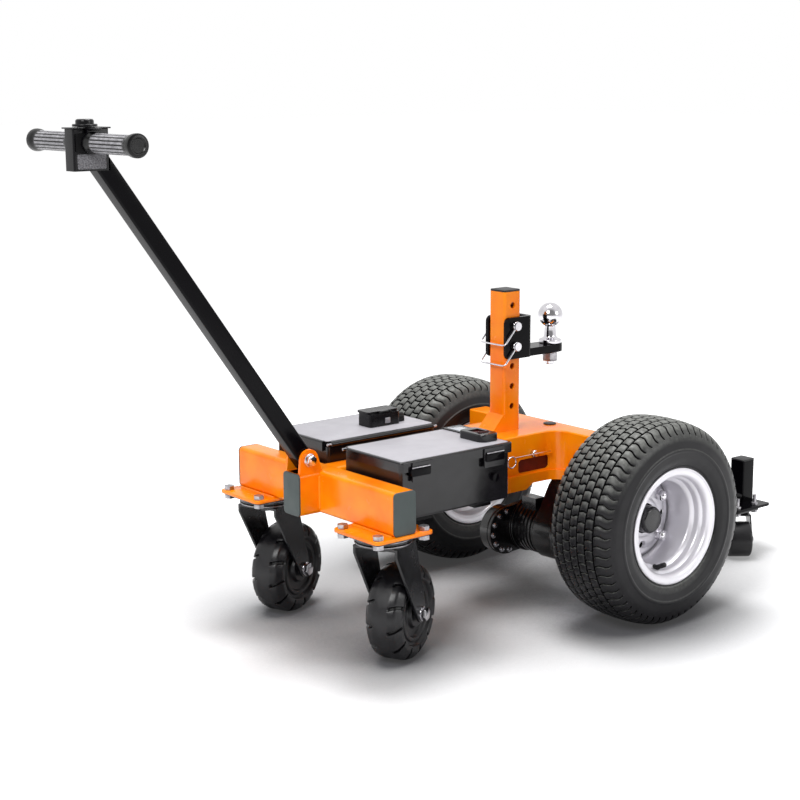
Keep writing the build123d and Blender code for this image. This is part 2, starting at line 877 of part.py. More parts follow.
# A bail is one bent wire: an eye in the pin's groove, two legs, a cross run and an open hook
bail_y = groove_start + pin_groove / 2
ring_radius = pin_radius + running_gap + bail_wire
leg_length = hypot(bail_forward, bail_drop)
for pin_z, name in zip(pin_heights, ("upper", "lower")):
    toward = Vector(-bail_forward / leg_length, 0, -bail_drop / leg_length)
    wire_plane = Plane(origin=(post_x, 0, pin_z), x_dir=(0, 1, 0), z_dir=Vector(0, 1, 0).cross(toward))
    ring_plane = Plane(origin=(post_x, 0, pin_z), x_dir=toward, z_dir=(0, 1, 0))
    with BuildPart() as pin_bail:
        with BuildLine(wire_plane):
            legs = FilletPolyline(
                (-bail_y, ring_radius),
                (-bail_y, leg_length),
                (bail_y, leg_length),
                (bail_y, ring_radius),
                radius=bail_corner,
            )
        with BuildSketch(Plane(origin=legs @ 0, z_dir=legs % 0)):
            Circle(bail_wire)
        sweep(path=legs)
        for offset_y, arc in ((-bail_y, eye_arc), (bail_y, hook_arc)):
            with BuildLine(ring_plane.offset(offset_y)):
                ring = CenterArc((0, 0), ring_radius, 0, arc)
            with BuildSketch(Plane(origin=ring @ 0, z_dir=ring % 0)):
                Circle(bail_wire)
            sweep(path=ring)
    publish(pin_bail, f"pin_bail_{name}")

# Pull pin through the near wall of the frame, with its cross wire and ring
pull_x = post_x + pull_pin_forward
pull_wire_y = -frame_width / 2 - pull_knob_length
with BuildPart() as freewheel_pin:
    with BuildSketch(Plane.XZ.offset(frame_width / 2 + seat_gap)):
        with Locations((pull_x, pull_pin_height)):
            Circle(pull_knob_radius)
    extrude(amount=pull_knob_length)
    fillet(freewheel_pin.edges().group_by(Axis.Y)[0], top_edge)
    with BuildSketch(Plane.XZ.offset(frame_width / 2 - pull_pin_length)):
        with Locations((pull_x, pull_pin_height)):
            Circle(pull_pin_radius)
    extrude(amount=pull_pin_length + pull_knob_length / 2)
    with BuildSketch(Plane.YZ.offset(pull_x - pull_wire_front)):
        with Locations((pull_wire_y, pull_pin_height)):
            Circle(pull_wire)
    extrude(amount=pull_wire_front + pull_wire_back)
    with Locations(
        Plane(
            origin=(pull_x - pull_wire_front - pull_ring_drop, pull_wire_y, pull_pin_height - pull_ring_drop),
            z_dir=(0, 1, 0),
        )
    ):
        Torus(pull_ring_radius, pull_wire)
publish(freewheel_pin, "freewheel_pin")

# Tiller tube, with its end cut to fit round the corner of the control head
head_rear_x = head_x + head_length / 2
with BuildPart() as tiller_tube:
    along = Vector(handle_x - pivot_x, 0, handle_height - pivot_z)
    with BuildSketch(Plane(origin=(pivot_x, 0, pivot_z), x_dir=(0, 1, 0), z_dir=along).offset(-tiller_tail)):
        rounded_tube(tiller_side, tiller_side, tiller_corner, tiller_wall)
    extrude(amount=along.length + tiller_tail)
    with BuildSketch(Plane.XZ):
        with Locations((head_rear_x, head_bottom)):
            Rectangle(along.length, along.length, align=(Align.MAX, Align.MIN))
        with Locations((pivot_x, pivot_z)):
            Circle(pivot_bolt_radius + running_gap)
    extrude(amount=tiller_side, both=True, mode=Mode.SUBTRACT)
publish(tiller_tube, "tiller_tube")

# Control head, a hollow case with the bar through it
with BuildPart() as control_box:
    with BuildSketch(Plane.XY.offset(head_bottom)):
        with Locations((head_x, 0)):
            RectangleRounded(head_length, head_width, head_corner)
    extrude(amount=head_height)
    fillet(control_box.faces().sort_by(Axis.Z)[-1].edges(), head_corner / 2)
    with BuildSketch(Plane.XY.offset(head_bottom)):
        with Locations((head_x, 0)):
            Rectangle(head_length - 2 * head_wall, head_width - 2 * head_wall)
    extrude(amount=head_height - head_wall, mode=Mode.SUBTRACT)
    with BuildSketch(Plane.XZ):
        with Locations((handle_x, handle_height)):
            Circle(handle_radius)
    extrude(amount=head_width, both=True, mode=Mode.SUBTRACT)
    # Window frame on the near side, left bare
    with BuildSketch(Plane.XZ.offset(head_width / 2)):
        with Locations((head_x - head_length / 2 + recess_length / 2 + head_wall, head_top - recess_drop)):
            RectangleRounded(recess_length, recess_height, head_corner)
    extrude(amount=-recess_depth, mode=Mode.SUBTRACT)
    with Locations((knob_x, 0, head_top)):
        Hole(knob_stem_radius + running_gap, depth=head_height / 4)
publish(control_box, "control_box")

with BuildPart() as handle_bar:
    with BuildSketch(Plane.XZ):
        with Locations((handle_x, handle_height)):
            Circle(handle_radius)
            Circle(handle_radius - handle_wall, mode=Mode.SUBTRACT)
    extrude(amount=handle_half_length, both=True)
publish(handle_bar, "handle_bar")

# Grips with flared ends and shallow flutes
with BuildPart() as hand_grips:
    grip_end = handle_half_length + grip_end_wall
    for side in sides.values():
        with BuildSketch(axle_plane((handle_x, 0, handle_height), (0, side, 0))):
            with BuildLine():
                Polyline(
                    (grip_end - grip_edge, grip_bell_radius),
                    (grip_end, grip_bell_radius - grip_edge),
                    (grip_end, 0),
                    (handle_half_length, 0),
                    (handle_half_length, handle_radius),
                    (grip_start, handle_radius),
                    (grip_start, grip_bell_radius - grip_edge),
                    (grip_start + grip_edge, grip_bell_radius),
                )
                Spline(
                    (grip_start + grip_edge, grip_bell_radius),
                    (grip_start + grip_bell_length, grip_waist_radius),
                    ((grip_start + grip_end) / 2, grip_inner_radius),
                    (grip_end - grip_bell_length, grip_waist_radius),
                    (grip_end - grip_edge, grip_bell_radius),
                )
            make_face()
        revolve(axis=Axis((handle_x, 0, handle_height), (0, side, 0)))
        with BuildSketch(Plane.XZ.offset(-side * (grip_start + grip_bell_length))):
            with Locations((handle_x, handle_height)):
                with PolarLocations(grip_inner_radius + flute_radius - flute_depth, flute_count):
                    Circle(flute_radius)
        extrude(amount=-side * (grip_end - grip_start - 2 * grip_bell_length), mode=Mode.SUBTRACT)
publish(hand_grips, "hand_grips")

knob_base = head_top + seat_gap + knob_collar
with BuildPart() as speed_knob:
    with BuildSketch(Plane.XZ) as knob_section:
        with Locations((knob_x, head_top + seat_gap)):
            Rectangle(knob_collar_radius, knob_height, align=(Align.MIN, Align.MIN))
        with Locations((knob_x, knob_base)):
            Rectangle(knob_radius, knob_skirt, align=(Align.MIN, Align.MIN))
            Rectangle(knob_dome_radius, knob_height, align=(Align.MIN, Align.MIN))
        fillet(knob_section.vertices().group_by(Axis.Y)[-1].sort_by(Axis.X)[-1], knob_edge)
        fillet(knob_section.vertices().group_by(Axis.X)[-1].sort_by(Axis.Y)[-1], knob_lip)
    revolve(axis=Axis((knob_x, 0, 0), (0, 0, 1)))
    with Locations((knob_x, 0, head_top + seat_gap)):
        Cylinder(knob_stem_radius, knob_stem_length, align=(Align.CENTER, Align.CENTER, Align.MAX))
    with BuildSketch(Plane.XY.offset(knob_base + knob_height - flute_radius)):
        with Locations((knob_x + knob_dome_radius / 2, 0)):
            SlotOverall(knob_dome_radius / 2, flute_radius)
    extrude(amount=flute_radius, mode=Mode.SUBTRACT)
publish(speed_knob, "speed_knob")

# Thumb throttle: a ring on the bar with a paddle over the grip
with BuildPart() as thumb_throttle:
    ring_start = head_width / 2 + (grip_start - head_width / 2 - throttle_ring_width) / 2
    with BuildSketch(Plane.XZ.offset(ring_start)):
        with Locations((handle_x, handle_height)):
            Circle(throttle_ring_radius)
        with Locations((handle_x, handle_height + throttle_rise / 2)):
            Rectangle(throttle_paddle, throttle_rise + 2 * throttle_thickness)
        with Locations((handle_x, handle_height)):
            Circle(handle_radius + running_gap, mode=Mode.SUBTRACT)
    extrude(amount=throttle_ring_width)
    with BuildSketch(Plane.XZ.offset(ring_start)):
        with Locations((handle_x, handle_height + throttle_rise / 2 + throttle_thickness)):
            with Locations((0, throttle_rise / 2 - throttle_thickness / 2)):
                Rectangle(throttle_paddle, throttle_thickness)
    extrude(amount=throttle_reach)
    fillet(thumb_throttle.edges().filter_by(Axis.Z).group_by(Axis.Y)[0], throttle_corner)
publish(thumb_throttle, "thumb_throttle")

# Front and rear casters. Under each plate is a flange with its ball race and kingpin
with BuildPart() as caster_raceways:
    race_sets = [
        (caster_x, plate_from_middle, plate_bottom, (plate_bolts_x, plate_bolts_y),
         (plate_length - 2 * caster_flange_inset, plate_width - 2 * caster_flange_inset),
         caster_flange, race_radius, race_height, kingpin_radius, kingpin_nut_radius,
         kingpin_nut_height, fork_disc + fork_plate, plate_bolt_radius),
        (rear_caster_x, rear_swivel_from_middle, foot_top - foot_thickness,
         (rear_bolt_spacing, rear_bolt_spacing), (rear_flange_side, rear_flange_side),
         rear_flange, rear_race_radius, rear_race_height, rear_kingpin_radius, rear_kingpin_nut,
         rear_kingpin_nut_height, rear_fork_plate, rear_bolt_radius),
    ]
    for (x, y, top, spacing, plate, flange, race, drop, kingpin, nut, nut_height, crown, bolt) in race_sets:
        for side in sides.values():
            with BuildSketch(Plane.XY.offset(top)):
                with Locations((x, side * y)):
                    RectangleRounded(*plate, race_corner)
                    with GridLocations(*spacing, 2, 2):
                        Circle(bolt + bolt_clearance, mode=Mode.SUBTRACT)
            extrude(amount=-flange)
            race_bottom = top - flange - drop
            with Locations((x, side * y, race_bottom)):
                Cylinder(race, drop, align=(Align.CENTER, Align.CENTER, Align.MIN))
            pin_bottom = race_bottom - crown - 2 * seat_gap - nut_height
            with Locations((x, side * y, pin_bottom)):
                Cylinder(kingpin, race_bottom - pin_bottom, align=(Align.CENTER, Align.CENTER, Align.MIN))
                Cylinder(nut, nut_height, align=(Align.CENTER, Align.CENTER, Align.MIN))
    for radius, edge in ((race_radius, race_edge), (rear_race_radius, race_edge / 2)):
        rims = caster_raceways.edges().filter_by(GeomType.CIRCLE)
        fillet(rims.filter_by(lambda e, r=radius: abs(e.radius - r) < seat_gap).group_by(Axis.Z)[0], edge)
publish(caster_raceways, "caster_raceways")

front_crown_top = plate_bottom - caster_flange - race_height - seat_gap
rear_crown_top = foot_top - foot_thickness - rear_flange - rear_race_height - seat_gap
headings = {"near": swivel_near, "far": swivel_far}
rear_headings = {"near": rear_swivel_near, "far": rear_swivel_far}


def heading_vectors(heading):
    """Forward and rightward unit vectors of a caster turned to a heading."""
    forward = Vector(cos(radians(heading)), sin(radians(heading)), 0)
    right = Vector(sin(radians(heading)), -cos(radians(heading)), 0)
    return forward, right


for side_name, side in sides.items():
    heading = headings[side_name]
    forward, right = heading_vectors(heading)
    swivel = Vector(caster_x, side * plate_from_middle, 0)
    hub_centre = swivel + forward * caster_trail + Vector(0, 0, wheel_radius)
    crown_plane = Plane(origin=swivel + Vector(0, 0, front_crown_top), x_dir=forward, z_dir=(0, 0, 1))
    edge_plane = upright_plane(swivel.X, swivel.Y, heading)
    half_fork = fork_half_gap + fork_plate
    leg_top = front_crown_top - fork_disc

    with BuildPart() as caster_fork:
        with BuildSketch(crown_plane):
            Circle(fork_disc_radius)
        extrude(amount=-fork_disc)
        with BuildSketch(crown_plane.offset(-fork_disc)):
            with Locations(((fork_back - fork_front) / 2, 0)):
                Rectangle(fork_back + fork_front, 2 * half_fork)
        extrude(amount=-fork_plate)
        for start in (fork_half_gap, -half_fork):
            with BuildSketch(edge_plane.offset(start)):
                with Locations(((fork_back - fork_front) / 2, leg_top - fork_shoulder / 2)):
                    Rectangle(fork_back + fork_front, fork_shoulder)
                with Locations((caster_trail, wheel_radius)):
                    Circle(fork_leg_end)
                make_hull()
                with Locations((caster_trail, wheel_radius)):
                    Circle(axle_bolt_radius + bolt_clearance, mode=Mode.SUBTRACT)
            extrude(amount=fork_plate)
        with Locations(crown_plane):
            Hole(kingpin_radius + running_gap, depth=fork_disc + fork_plate)
    publish(caster_fork, f"caster_fork_{side_name}")

    with BuildPart() as caster_wheel:
        with BuildSketch(axle_plane(hub_centre, right)):
            with BuildLine():
                hub_end = fork_half_gap - hub_spacer_gap
                web_half = wheel_width / 2 - wheel_recess
                right_side = [
                    (0, axle_bolt_radius + running_gap),
                    (hub_end, axle_bolt_radius + running_gap),
                    (hub_end, wheel_hub_radius),
                    (web_half, wheel_hub_radius + wheel_recess),
                    (web_half, wheel_rim_radius - wheel_recess),
                    (wheel_width / 2 - wheel_dish, wheel_rim_radius),
                    (wheel_width / 2, wheel_rim_radius + wheel_dish),
                    (wheel_width / 2, wheel_radius - wheel_shoulder),
                ]
                Polyline(*right_side)
                Polyline(*[(-x, y) for x, y in right_side])
                for end in (1, -1):
                    ThreePointArc(
                        (end * wheel_width / 2, wheel_radius - wheel_shoulder),
                        (end * (wheel_width / 2 - wheel_shoulder / 4), wheel_radius - wheel_shoulder / 3),
                        (end * (wheel_width / 2 - wheel_shoulder), wheel_radius - wheel_crown),
                    )
                ThreePointArc(
                    (wheel_shoulder - wheel_width / 2, wheel_radius - wheel_crown),
                    (0, wheel_radius),
                    (wheel_width / 2 - wheel_shoulder, wheel_radius - wheel_crown),
                )
            make_face()
        revolve(axis=Axis(hub_centre, right))
        for end in (1, -1):
            face_plane = Plane(
                origin=hub_centre + right * (end * wheel_width / 2), x_dir=(0, 0, 1), z_dir=right * end
            )
            with BuildSketch(face_plane):
                with PolarLocations(wheel_radius - lug_gap_depth / 2, lug_count):
                    Rectangle(lug_gap_depth * 2, lug_gap_width)
            extrude(amount=-lug_gap_length, mode=Mode.SUBTRACT)
    publish(caster_wheel, f"caster_wheel_{side_name}")

    with BuildPart() as caster_axle:
        axle_sketch_plane = Plane(origin=hub_centre, x_dir=forward, z_dir=right)
        with BuildSketch(axle_sketch_plane):
            Circle(axle_bolt_radius)
        extrude(amount=half_fork + axle_washer + axle_head_height, both=True)
        for end in (1, -1):
            outer_face = hub_centre + right * (end * half_fork)
            outer_plane = Plane(origin=outer_face, x_dir=forward, z_dir=right * end)
            with BuildSketch(outer_plane):
                Circle(axle_washer_radius)
            extrude(amount=axle_washer)
            with BuildSketch(outer_plane.offset(axle_washer)):
                hexagon(axle_head_flats)
            extrude(amount=axle_head_height)
    publish(caster_axle, f"caster_axle_{side_name}")

# Rear casters, smaller, with a riveted axle in each fork
for side_name, side in sides.items():
    heading = rear_headings[side_name]
    forward, right = heading_vectors(heading)
    swivel = Vector(rear_caster_x, side * rear_swivel_from_middle, 0)
    roller_centre = swivel + forward * rear_trail + Vector(0, 0, roller_radius)
    crown_plane = Plane(origin=swivel + Vector(0, 0, rear_crown_top), x_dir=forward, z_dir=(0, 0, 1))
    edge_plane = upright_plane(swivel.X, swivel.Y, heading)
    inner_gap = roller_width / 2 + roller_side_gap
    half_fork = inner_gap + rear_fork_plate
    leg_top = rear_crown_top

    with BuildPart() as rear_fork:
        with BuildSketch(crown_plane):
            with Locations(((rear_fork_back - rear_fork_front) / 2, 0)):
                Rectangle(rear_fork_back + rear_fork_front, 2 * half_fork)
            Circle(rear_kingpin_radius + running_gap, mode=Mode.SUBTRACT)
        extrude(amount=-rear_fork_plate)
        for start in (inner_gap, -half_fork):
            with BuildSketch(edge_plane.offset(start)):
                with Locations(((rear_fork_back - rear_fork_front) / 2, leg_top - rear_fork_shoulder / 2)):
                    Rectangle(rear_fork_back + rear_fork_front, rear_fork_shoulder)
                with Locations((rear_trail, roller_radius)):
                    Circle(rear_leg_end)
                make_hull()
                with Locations((rear_trail, roller_radius)):
                    Circle(rivet_radius, mode=Mode.SUBTRACT)
            extrude(amount=rear_fork_plate)
        with BuildSketch(Plane(origin=roller_centre, x_dir=forward, z_dir=right)):
            Circle(rivet_radius)
        extrude(amount=half_fork + rivet_head_height, both=True)
        for end in (1, -1):
            outer_face = roller_centre + right * (end * half_fork)
            outer_plane = Plane(origin=outer_face, x_dir=forward, z_dir=right * end)
            with BuildSketch(outer_plane):
                Circle(rivet_head_radius)
            extrude(amount=rivet_head_height, taper=rivet_taper)
    publish(rear_fork, f"rear_fork_{side_name}")

    with BuildPart() as rear_roller:
        with BuildSketch(axle_plane(roller_centre, right)) as roller_section:
            with Locations((0, (roller_radius + rivet_radius + running_gap) / 2)):
                Rectangle(roller_width, roller_radius - rivet_radius - running_gap)
            fillet(roller_section.vertices().group_by(Axis.Y)[-1], roller_edge)
            for end in (1, -1):
                with Locations((end * roller_width / 2, roller_recess_middle)):
                    Rectangle(2 * roller_recess, roller_recess_width, mode=Mode.SUBTRACT)
        revolve(axis=Axis(roller_centre, right))
    publish(rear_roller, f"rear_roller_{side_name}")

# Rear arms: sloping tube, foot plate and upright, welded together
with BuildPart() as rear_arms:
    upright_x = axle_x + upright_behind_axle
    arm_line = Vector(cos(radians(arm_slope)), 0, -sin(radians(arm_slope)))
    for side in sides.values():
        arm_start = Vector(crossbar_rear_x, side * arm_from_middle, arm_start_height)
        with BuildSketch(Plane(origin=arm_start, x_dir=(0, 1, 0), z_dir=arm_line).offset(-arm_side)):
            rounded_tube(arm_side, arm_side, upright_corner, arm_wall)
        extrude(amount=arm_end_behind_axle + 2 * arm_side)
    split(bisect_by=Plane.YZ.offset(crossbar_rear_x), keep=Keep.TOP)
    split(bisect_by=Plane.YZ.offset(upright_x), keep=Keep.BOTTOM)
    split(bisect_by=Plane.XY.offset(foot_top), keep=Keep.TOP)
    for side in sides.values():
        with BuildSketch(Plane.XY.offset(foot_top)):
            with Locations((upright_x, side * arm_from_middle)):
                RectangleRounded(upright_side, upright_side, upright_corner)
        extrude(amount=upright_top - foot_top)
        with BuildSketch(Plane.XY.offset(foot_top)):
            with Locations((upright_x, side * arm_from_middle)):
                Rectangle(upright_side - 2 * arm_wall, upright_side - 2 * arm_wall)
        extrude(amount=upright_top - foot_top, mode=Mode.SUBTRACT)
        with BuildSketch(Plane.XY.offset(foot_top)):
            foot_middle = (axle_x + (foot_start + foot_end) / 2, side * (foot_inner + foot_outer) / 2)
            with Locations(foot_middle):
                RectangleRounded(foot_end - foot_start, foot_outer - foot_inner, foot_corner)
            with Locations((rear_caster_x, side * rear_swivel_from_middle)):
                with GridLocations(rear_bolt_spacing, rear_bolt_spacing, 2, 2):
                    Circle(rear_bolt_radius + bolt_clearance, mode=Mode.SUBTRACT)
        extrude(amount=-foot_thickness)
publish(rear_arms, "rear_arms")

# Drive wheels. Distances along the axle run outward from each wheel's mid-plane
disc_outer = disc_plate / 2 - disc_inboard
disc_inner = disc_outer - disc_plate
rim_lip = rim_half - rim_flange_width
rim_step = rim_lip - rim_seat_length


def rim_profile(sheet):
    """Half section of the rim from its lip to mid-plane; sheet 0 gives the tyre's side."""
    return [
        (rim_half, rim_flange_radius - sheet / 2),
        (rim_lip + sheet, rim_flange_radius - sheet),
        (rim_lip + sheet, bead_seat_radius - sheet),
        (rim_step + sheet / 2, bead_seat_radius - sheet),
        (rim_well_half + sheet / 2, rim_well_radius - sheet),
        (0, rim_well_radius - sheet),
    ]


for side_name, side in sides.items():
    hub_centre = Vector(axle_x, side * wheel_y, tyre_radius)
    outward = Vector(0, side, 0)
    section = axle_plane(hub_centre, outward)
    spin = Axis(hub_centre, outward)

    with BuildPart() as rim:
        with BuildSketch(section):
            with BuildLine():
                tyre_side = rim_profile(0)
                wheel_side = rim_profile(rim_sheet)
                mirrored_tyre_side = [(-x, y) for x, y in reversed(tyre_side[:-1])]
                mirrored_wheel_side = [(-x, y) for x, y in wheel_side[:-1]]
                Polyline(
                    *tyre_side,
                    *mirrored_tyre_side,
                    *mirrored_wheel_side,
                    *reversed(wheel_side),
                    close=True,
                )
            make_face()
        revolve(axis=spin)
        with BuildSketch(section):
            with BuildLine():
                shell = rim_well_radius - rim_sheet
                Polyline(
                    (disc_inner, disc_bore),
                    (disc_outer, disc_bore),
                    (disc_outer, disc_flat_radius),
                    (disc_outer + disc_step, shell),
                    (disc_inner + disc_step, shell),
                    (disc_inner, disc_flat_radius + disc_plate / 2),
                    close=True,
                )
            make_face()
        revolve(axis=spin)
        disc_face = Plane(origin=hub_centre + outward * disc_outer, x_dir=(0, 0, 1), z_dir=outward)
        with BuildSketch(disc_face):
            with PolarLocations(lug_circle / 2, stud_count, start_angle=stud_angle):
                Circle(stud_radius + bolt_clearance)
        extrude(amount=-disc_plate, mode=Mode.SUBTRACT)
        with BuildSketch(disc_face):
            with PolarLocations(hand_hole_circle, stud_count):
                Circle(hand_hole_radius)
        extrude(amount=-disc_plate, mode=Mode.SUBTRACT)
    publish(rim, f"rim_{side_name}")

    with BuildPart() as tyre:
        bead_outer = rim_lip - seat_gap
        bead_inner = bead_outer - bead_width
        bead_radius = bead_seat_radius + seat_gap
        half_width = tyre_width / 2
        with BuildSketch(section):
            with BuildLine():
                for end in (1, -1):
                    Polyline(
                        (end * bead_inner, bead_radius),
                        (end * bead_outer, bead_radius),
                        (end * bead_outer, rim_flange_radius + seat_gap),
                    )
                    ThreePointArc(
                        (end * bead_outer, rim_flange_radius + seat_gap),
                        (end * half_width, tyre_bulge_radius),
                        (end * (half_width - shoulder_inset), tyre_shoulder_radius),
                    )
                    Line(
                        (end * (half_width - shoulder_inset), tyre_shoulder_radius),
                        (end * tread_half, tyre_radius - tread_drop),
                    )
                    Line(
                        (end * bead_inner, bead_radius),
                        (end * (bead_inner + bead_toe), rim_flange_radius + bead_toe),
                    )
                    ThreePointArc(
                        (end * (bead_inner + bead_toe), rim_flange_radius + bead_toe),
                        (end * (half_width - tyre_wall), tyre_bulge_radius),
                        (end * (tread_half + bead_toe / 2), tyre_radius - tread_thickness - 2 * tread_drop),
                    )
                ThreePointArc(
                    (-tread_half, tyre_radius - tread_drop),
                    (0, tyre_radius),
                    (tread_half, tyre_radius - tread_drop),
                )
                inner_edge = (tread_half + bead_toe / 2, tyre_radius - tread_thickness - 2 * tread_drop)
                ThreePointArc(
                    (-inner_edge[0], inner_edge[1]), (0, tyre_radius - tread_thickness), inner_edge
                )
            make_face()
            for x in groove_places:
                with Locations((x, tyre_radius)):
                    Rectangle(groove_width, 2 * groove_depth, mode=Mode.SUBTRACT)
        revolve(axis=spin)
        for end in (1, -1):
            cheek_middle = hub_centre + outward * (end * half_width)
            cheek = Plane(origin=cheek_middle, x_dir=(0, 0, 1), z_dir=outward * end)
            with BuildSketch(cheek):
                with PolarLocations(tyre_radius, shoulder_lugs):
                    Rectangle(2 * shoulder_gap_depth, shoulder_gap)
            extrude(amount=-shoulder_gap_length, mode=Mode.SUBTRACT)
    publish(tyre, f"tyre_{side_name}")

    with BuildPart() as hub:
        barrel_end = disc_inner - hub_flange_plate - hub_barrel_length
        hub_steps = [
            (disc_inner - hub_flange_plate, disc_inner, hub_flange_radius),
            (barrel_end, disc_inner, hub_barrel_radius),
            (disc_inner, hub_pilot_end, disc_bore - seat_gap),
            (barrel_end - tube_to_barrel - half_shaft_length, disc_inner, half_shaft_radius),
        ]
        for start, end, radius in hub_steps:
            with BuildSketch(Plane(origin=hub_centre + outward * start, x_dir=(0, 0, 1), z_dir=outward)):
                Circle(radius)
            extrude(amount=end - start)
        fillet(hub.faces().sort_by(spin)[-1].edges(), hub_pilot_edge)
        with BuildSketch(Plane(origin=hub_centre + outward * disc_inner, x_dir=(0, 0, 1), z_dir=outward)):
            with PolarLocations(lug_circle / 2, stud_count, start_angle=stud_angle):
                Circle(stud_radius)
        extrude(amount=disc_plate + lug_nut_height + stud_show)
    publish(hub, f"hub_{side_name}")

    with BuildPart() as lug_nuts:
        nut_face = Plane(origin=hub_centre + outward * disc_outer, x_dir=(0, 0, 1), z_dir=outward)
        with BuildSketch(nut_face):
            with PolarLocations(lug_circle / 2, stud_count, start_angle=stud_angle):
                hexagon(lug_nut_flats)
                Circle(stud_radius + running_gap, mode=Mode.SUBTRACT)
        extrude(amount=lug_nut_height)
    publish(lug_nuts, f"lug_nuts_{side_name}")

# Axle tubes from the gear case to the hubs, and the saddles and straps that hold them
tube_end = wheel_y + disc_inner - hub_flange_plate - hub_barrel_length - tube_to_barrel
with BuildPart() as axle_tubes:
    for start, end in ((case_near, tube_end), (-tube_end, -case_far_side)):
        with BuildSketch(Plane.XZ.offset(start)):
            with Locations((axle_x, tyre_radius)):
                Circle(axle_tube_radius)
                Circle(half_shaft_radius + running_gap, mode=Mode.SUBTRACT)
        extrude(amount=end - start)
publish(axle_tubes, "axle_tubes")

with BuildPart() as axle_clamps:
    for side in sides.values():
        block_start = side * saddle_from_middle - saddle_length / 2
        with BuildSketch(Plane.XZ.offset(block_start)):
            with Locations((crossbar_x, frame_bottom)):
                Rectangle(crossbar_depth, saddle_pad, align=(Align.CENTER, Align.MAX))
            with Locations((axle_x, tyre_radius)):
                Rectangle(saddle_width, saddle_pad, align=(Align.CENTER, Align.MIN))
            make_hull()
            with Locations((axle_x, tyre_radius)):
                Circle(axle_tube_radius, mode=Mode.SUBTRACT)
        extrude(amount=saddle_length)
        with BuildSketch(Plane.XZ.offset(side * saddle_from_middle - clamp_width / 2)):
            with Locations((axle_x, tyre_radius)):
                Circle(axle_tube_radius + clamp_strap)
                Rectangle(clamp_bolt_spacing + clamp_ear, 2 * clamp_strap)
                Circle(axle_tube_radius, mode=Mode.SUBTRACT)
                strap_cut = 2 * clamp_bolt_spacing
                Rectangle(strap_cut, strap_cut, align=(Align.CENTER, Align.MIN), mode=Mode.SUBTRACT)
        extrude(amount=clamp_width)
        with BuildSketch(Plane.XY.offset(tyre_radius - clamp_strap)):
            with Locations((axle_x, -side * saddle_from_middle)):
                with GridLocations(clamp_bolt_spacing, 1, 2, 1):
                    hexagon(hex_flats_m8)
        extrude(amount=-hex_height_m8)
publish(axle_clamps, "axle_clamps")

# Gear case, with a flat top where it bolts under the crossbar
with BuildPart() as transaxle_case:
    with BuildSketch(Plane.XZ.offset(case_far_side)):
        with Locations((axle_x, tyre_radius)):
            Circle(case_radius)
        with Locations((motor_x, motor_height)):
            Circle(motor_flange_radius)
        make_hull()
    extrude(amount=case_near - case_far_side)
    fillet(transaxle_case.faces().sort_by(Axis.Y)[0].edges(), case_fillet)
    with Locations((axle_x, 0, frame_bottom)):
        Box(
            4 * case_radius, 4 * case_near, case_radius,
            align=(Align.CENTER, Align.CENTER, Align.MIN), mode=Mode.SUBTRACT,
        )
    with BuildSketch(Plane.XZ.offset(case_far_side)):
        with Locations((axle_x, tyre_radius)):
            Circle(case_radius - case_wall)
        with Locations((motor_x, motor_height)):
            Circle(motor_flange_radius - case_wall)
        make_hull()
        with Locations((axle_x, frame_bottom - case_wall)):
            Rectangle(
                4 * case_radius, case_radius, align=(Align.CENTER, Align.MIN), mode=Mode.SUBTRACT
            )
    extrude(amount=case_near - case_far_side - case_wall, mode=Mode.SUBTRACT)
    with BuildSketch(Plane.XZ.offset(case_near - 2 * case_wall)):
        with Locations((motor_x, motor_height)):
            RectangleRounded(badge_length, badge_height, head_corner)
    extrude(amount=2 * case_wall + badge_rise)
    with BuildSketch(Plane.XZ.offset(case_near)):
        with Locations((axle_x, tyre_radius)):
            Circle(axle_tube_radius + clamp_strap)
    extrude(amount=case_boss)
    with BuildSketch(Plane.XZ.offset(case_near - 2 * case_wall)):
        with Locations((axle_x, tyre_radius)):
            Circle(axle_tube_radius)
    extrude(amount=2 * case_wall + case_boss, mode=Mode.SUBTRACT)
publish(transaxle_case, "transaxle_case")

with BuildPart() as drive_motor:
    with BuildSketch(Plane.XZ):
        with Locations((motor_x, motor_height)):
            Circle(motor_radius)
    extrude(amount=case_far_side)
    with BuildSketch(Plane.XZ):
        with Locations((motor_x, motor_height)):
            Circle(motor_flange_radius)
    extrude(amount=motor_flange)
    ring_pitch = (case_far_side - motor_flange) / (motor_rib_count + 1)
    for i in range(motor_rib_count):
        with BuildSketch(Plane.XZ.offset(motor_flange + (i + 1) * ring_pitch - motor_rib_gap / 2)):
            with Locations((motor_x, motor_height)):
                Circle(motor_radius)
                Circle(motor_radius - motor_rib_depth, mode=Mode.SUBTRACT)
        extrude(amount=motor_rib_gap, mode=Mode.SUBTRACT)
    with Locations((motor_x - terminal_shift, -case_far_side / 2, motor_height)):
        Box(
            terminal_width, terminal_length, motor_radius + terminal_height,
            align=(Align.CENTER, Align.CENTER, Align.MIN),
        )
publish(drive_motor, "drive_motor")

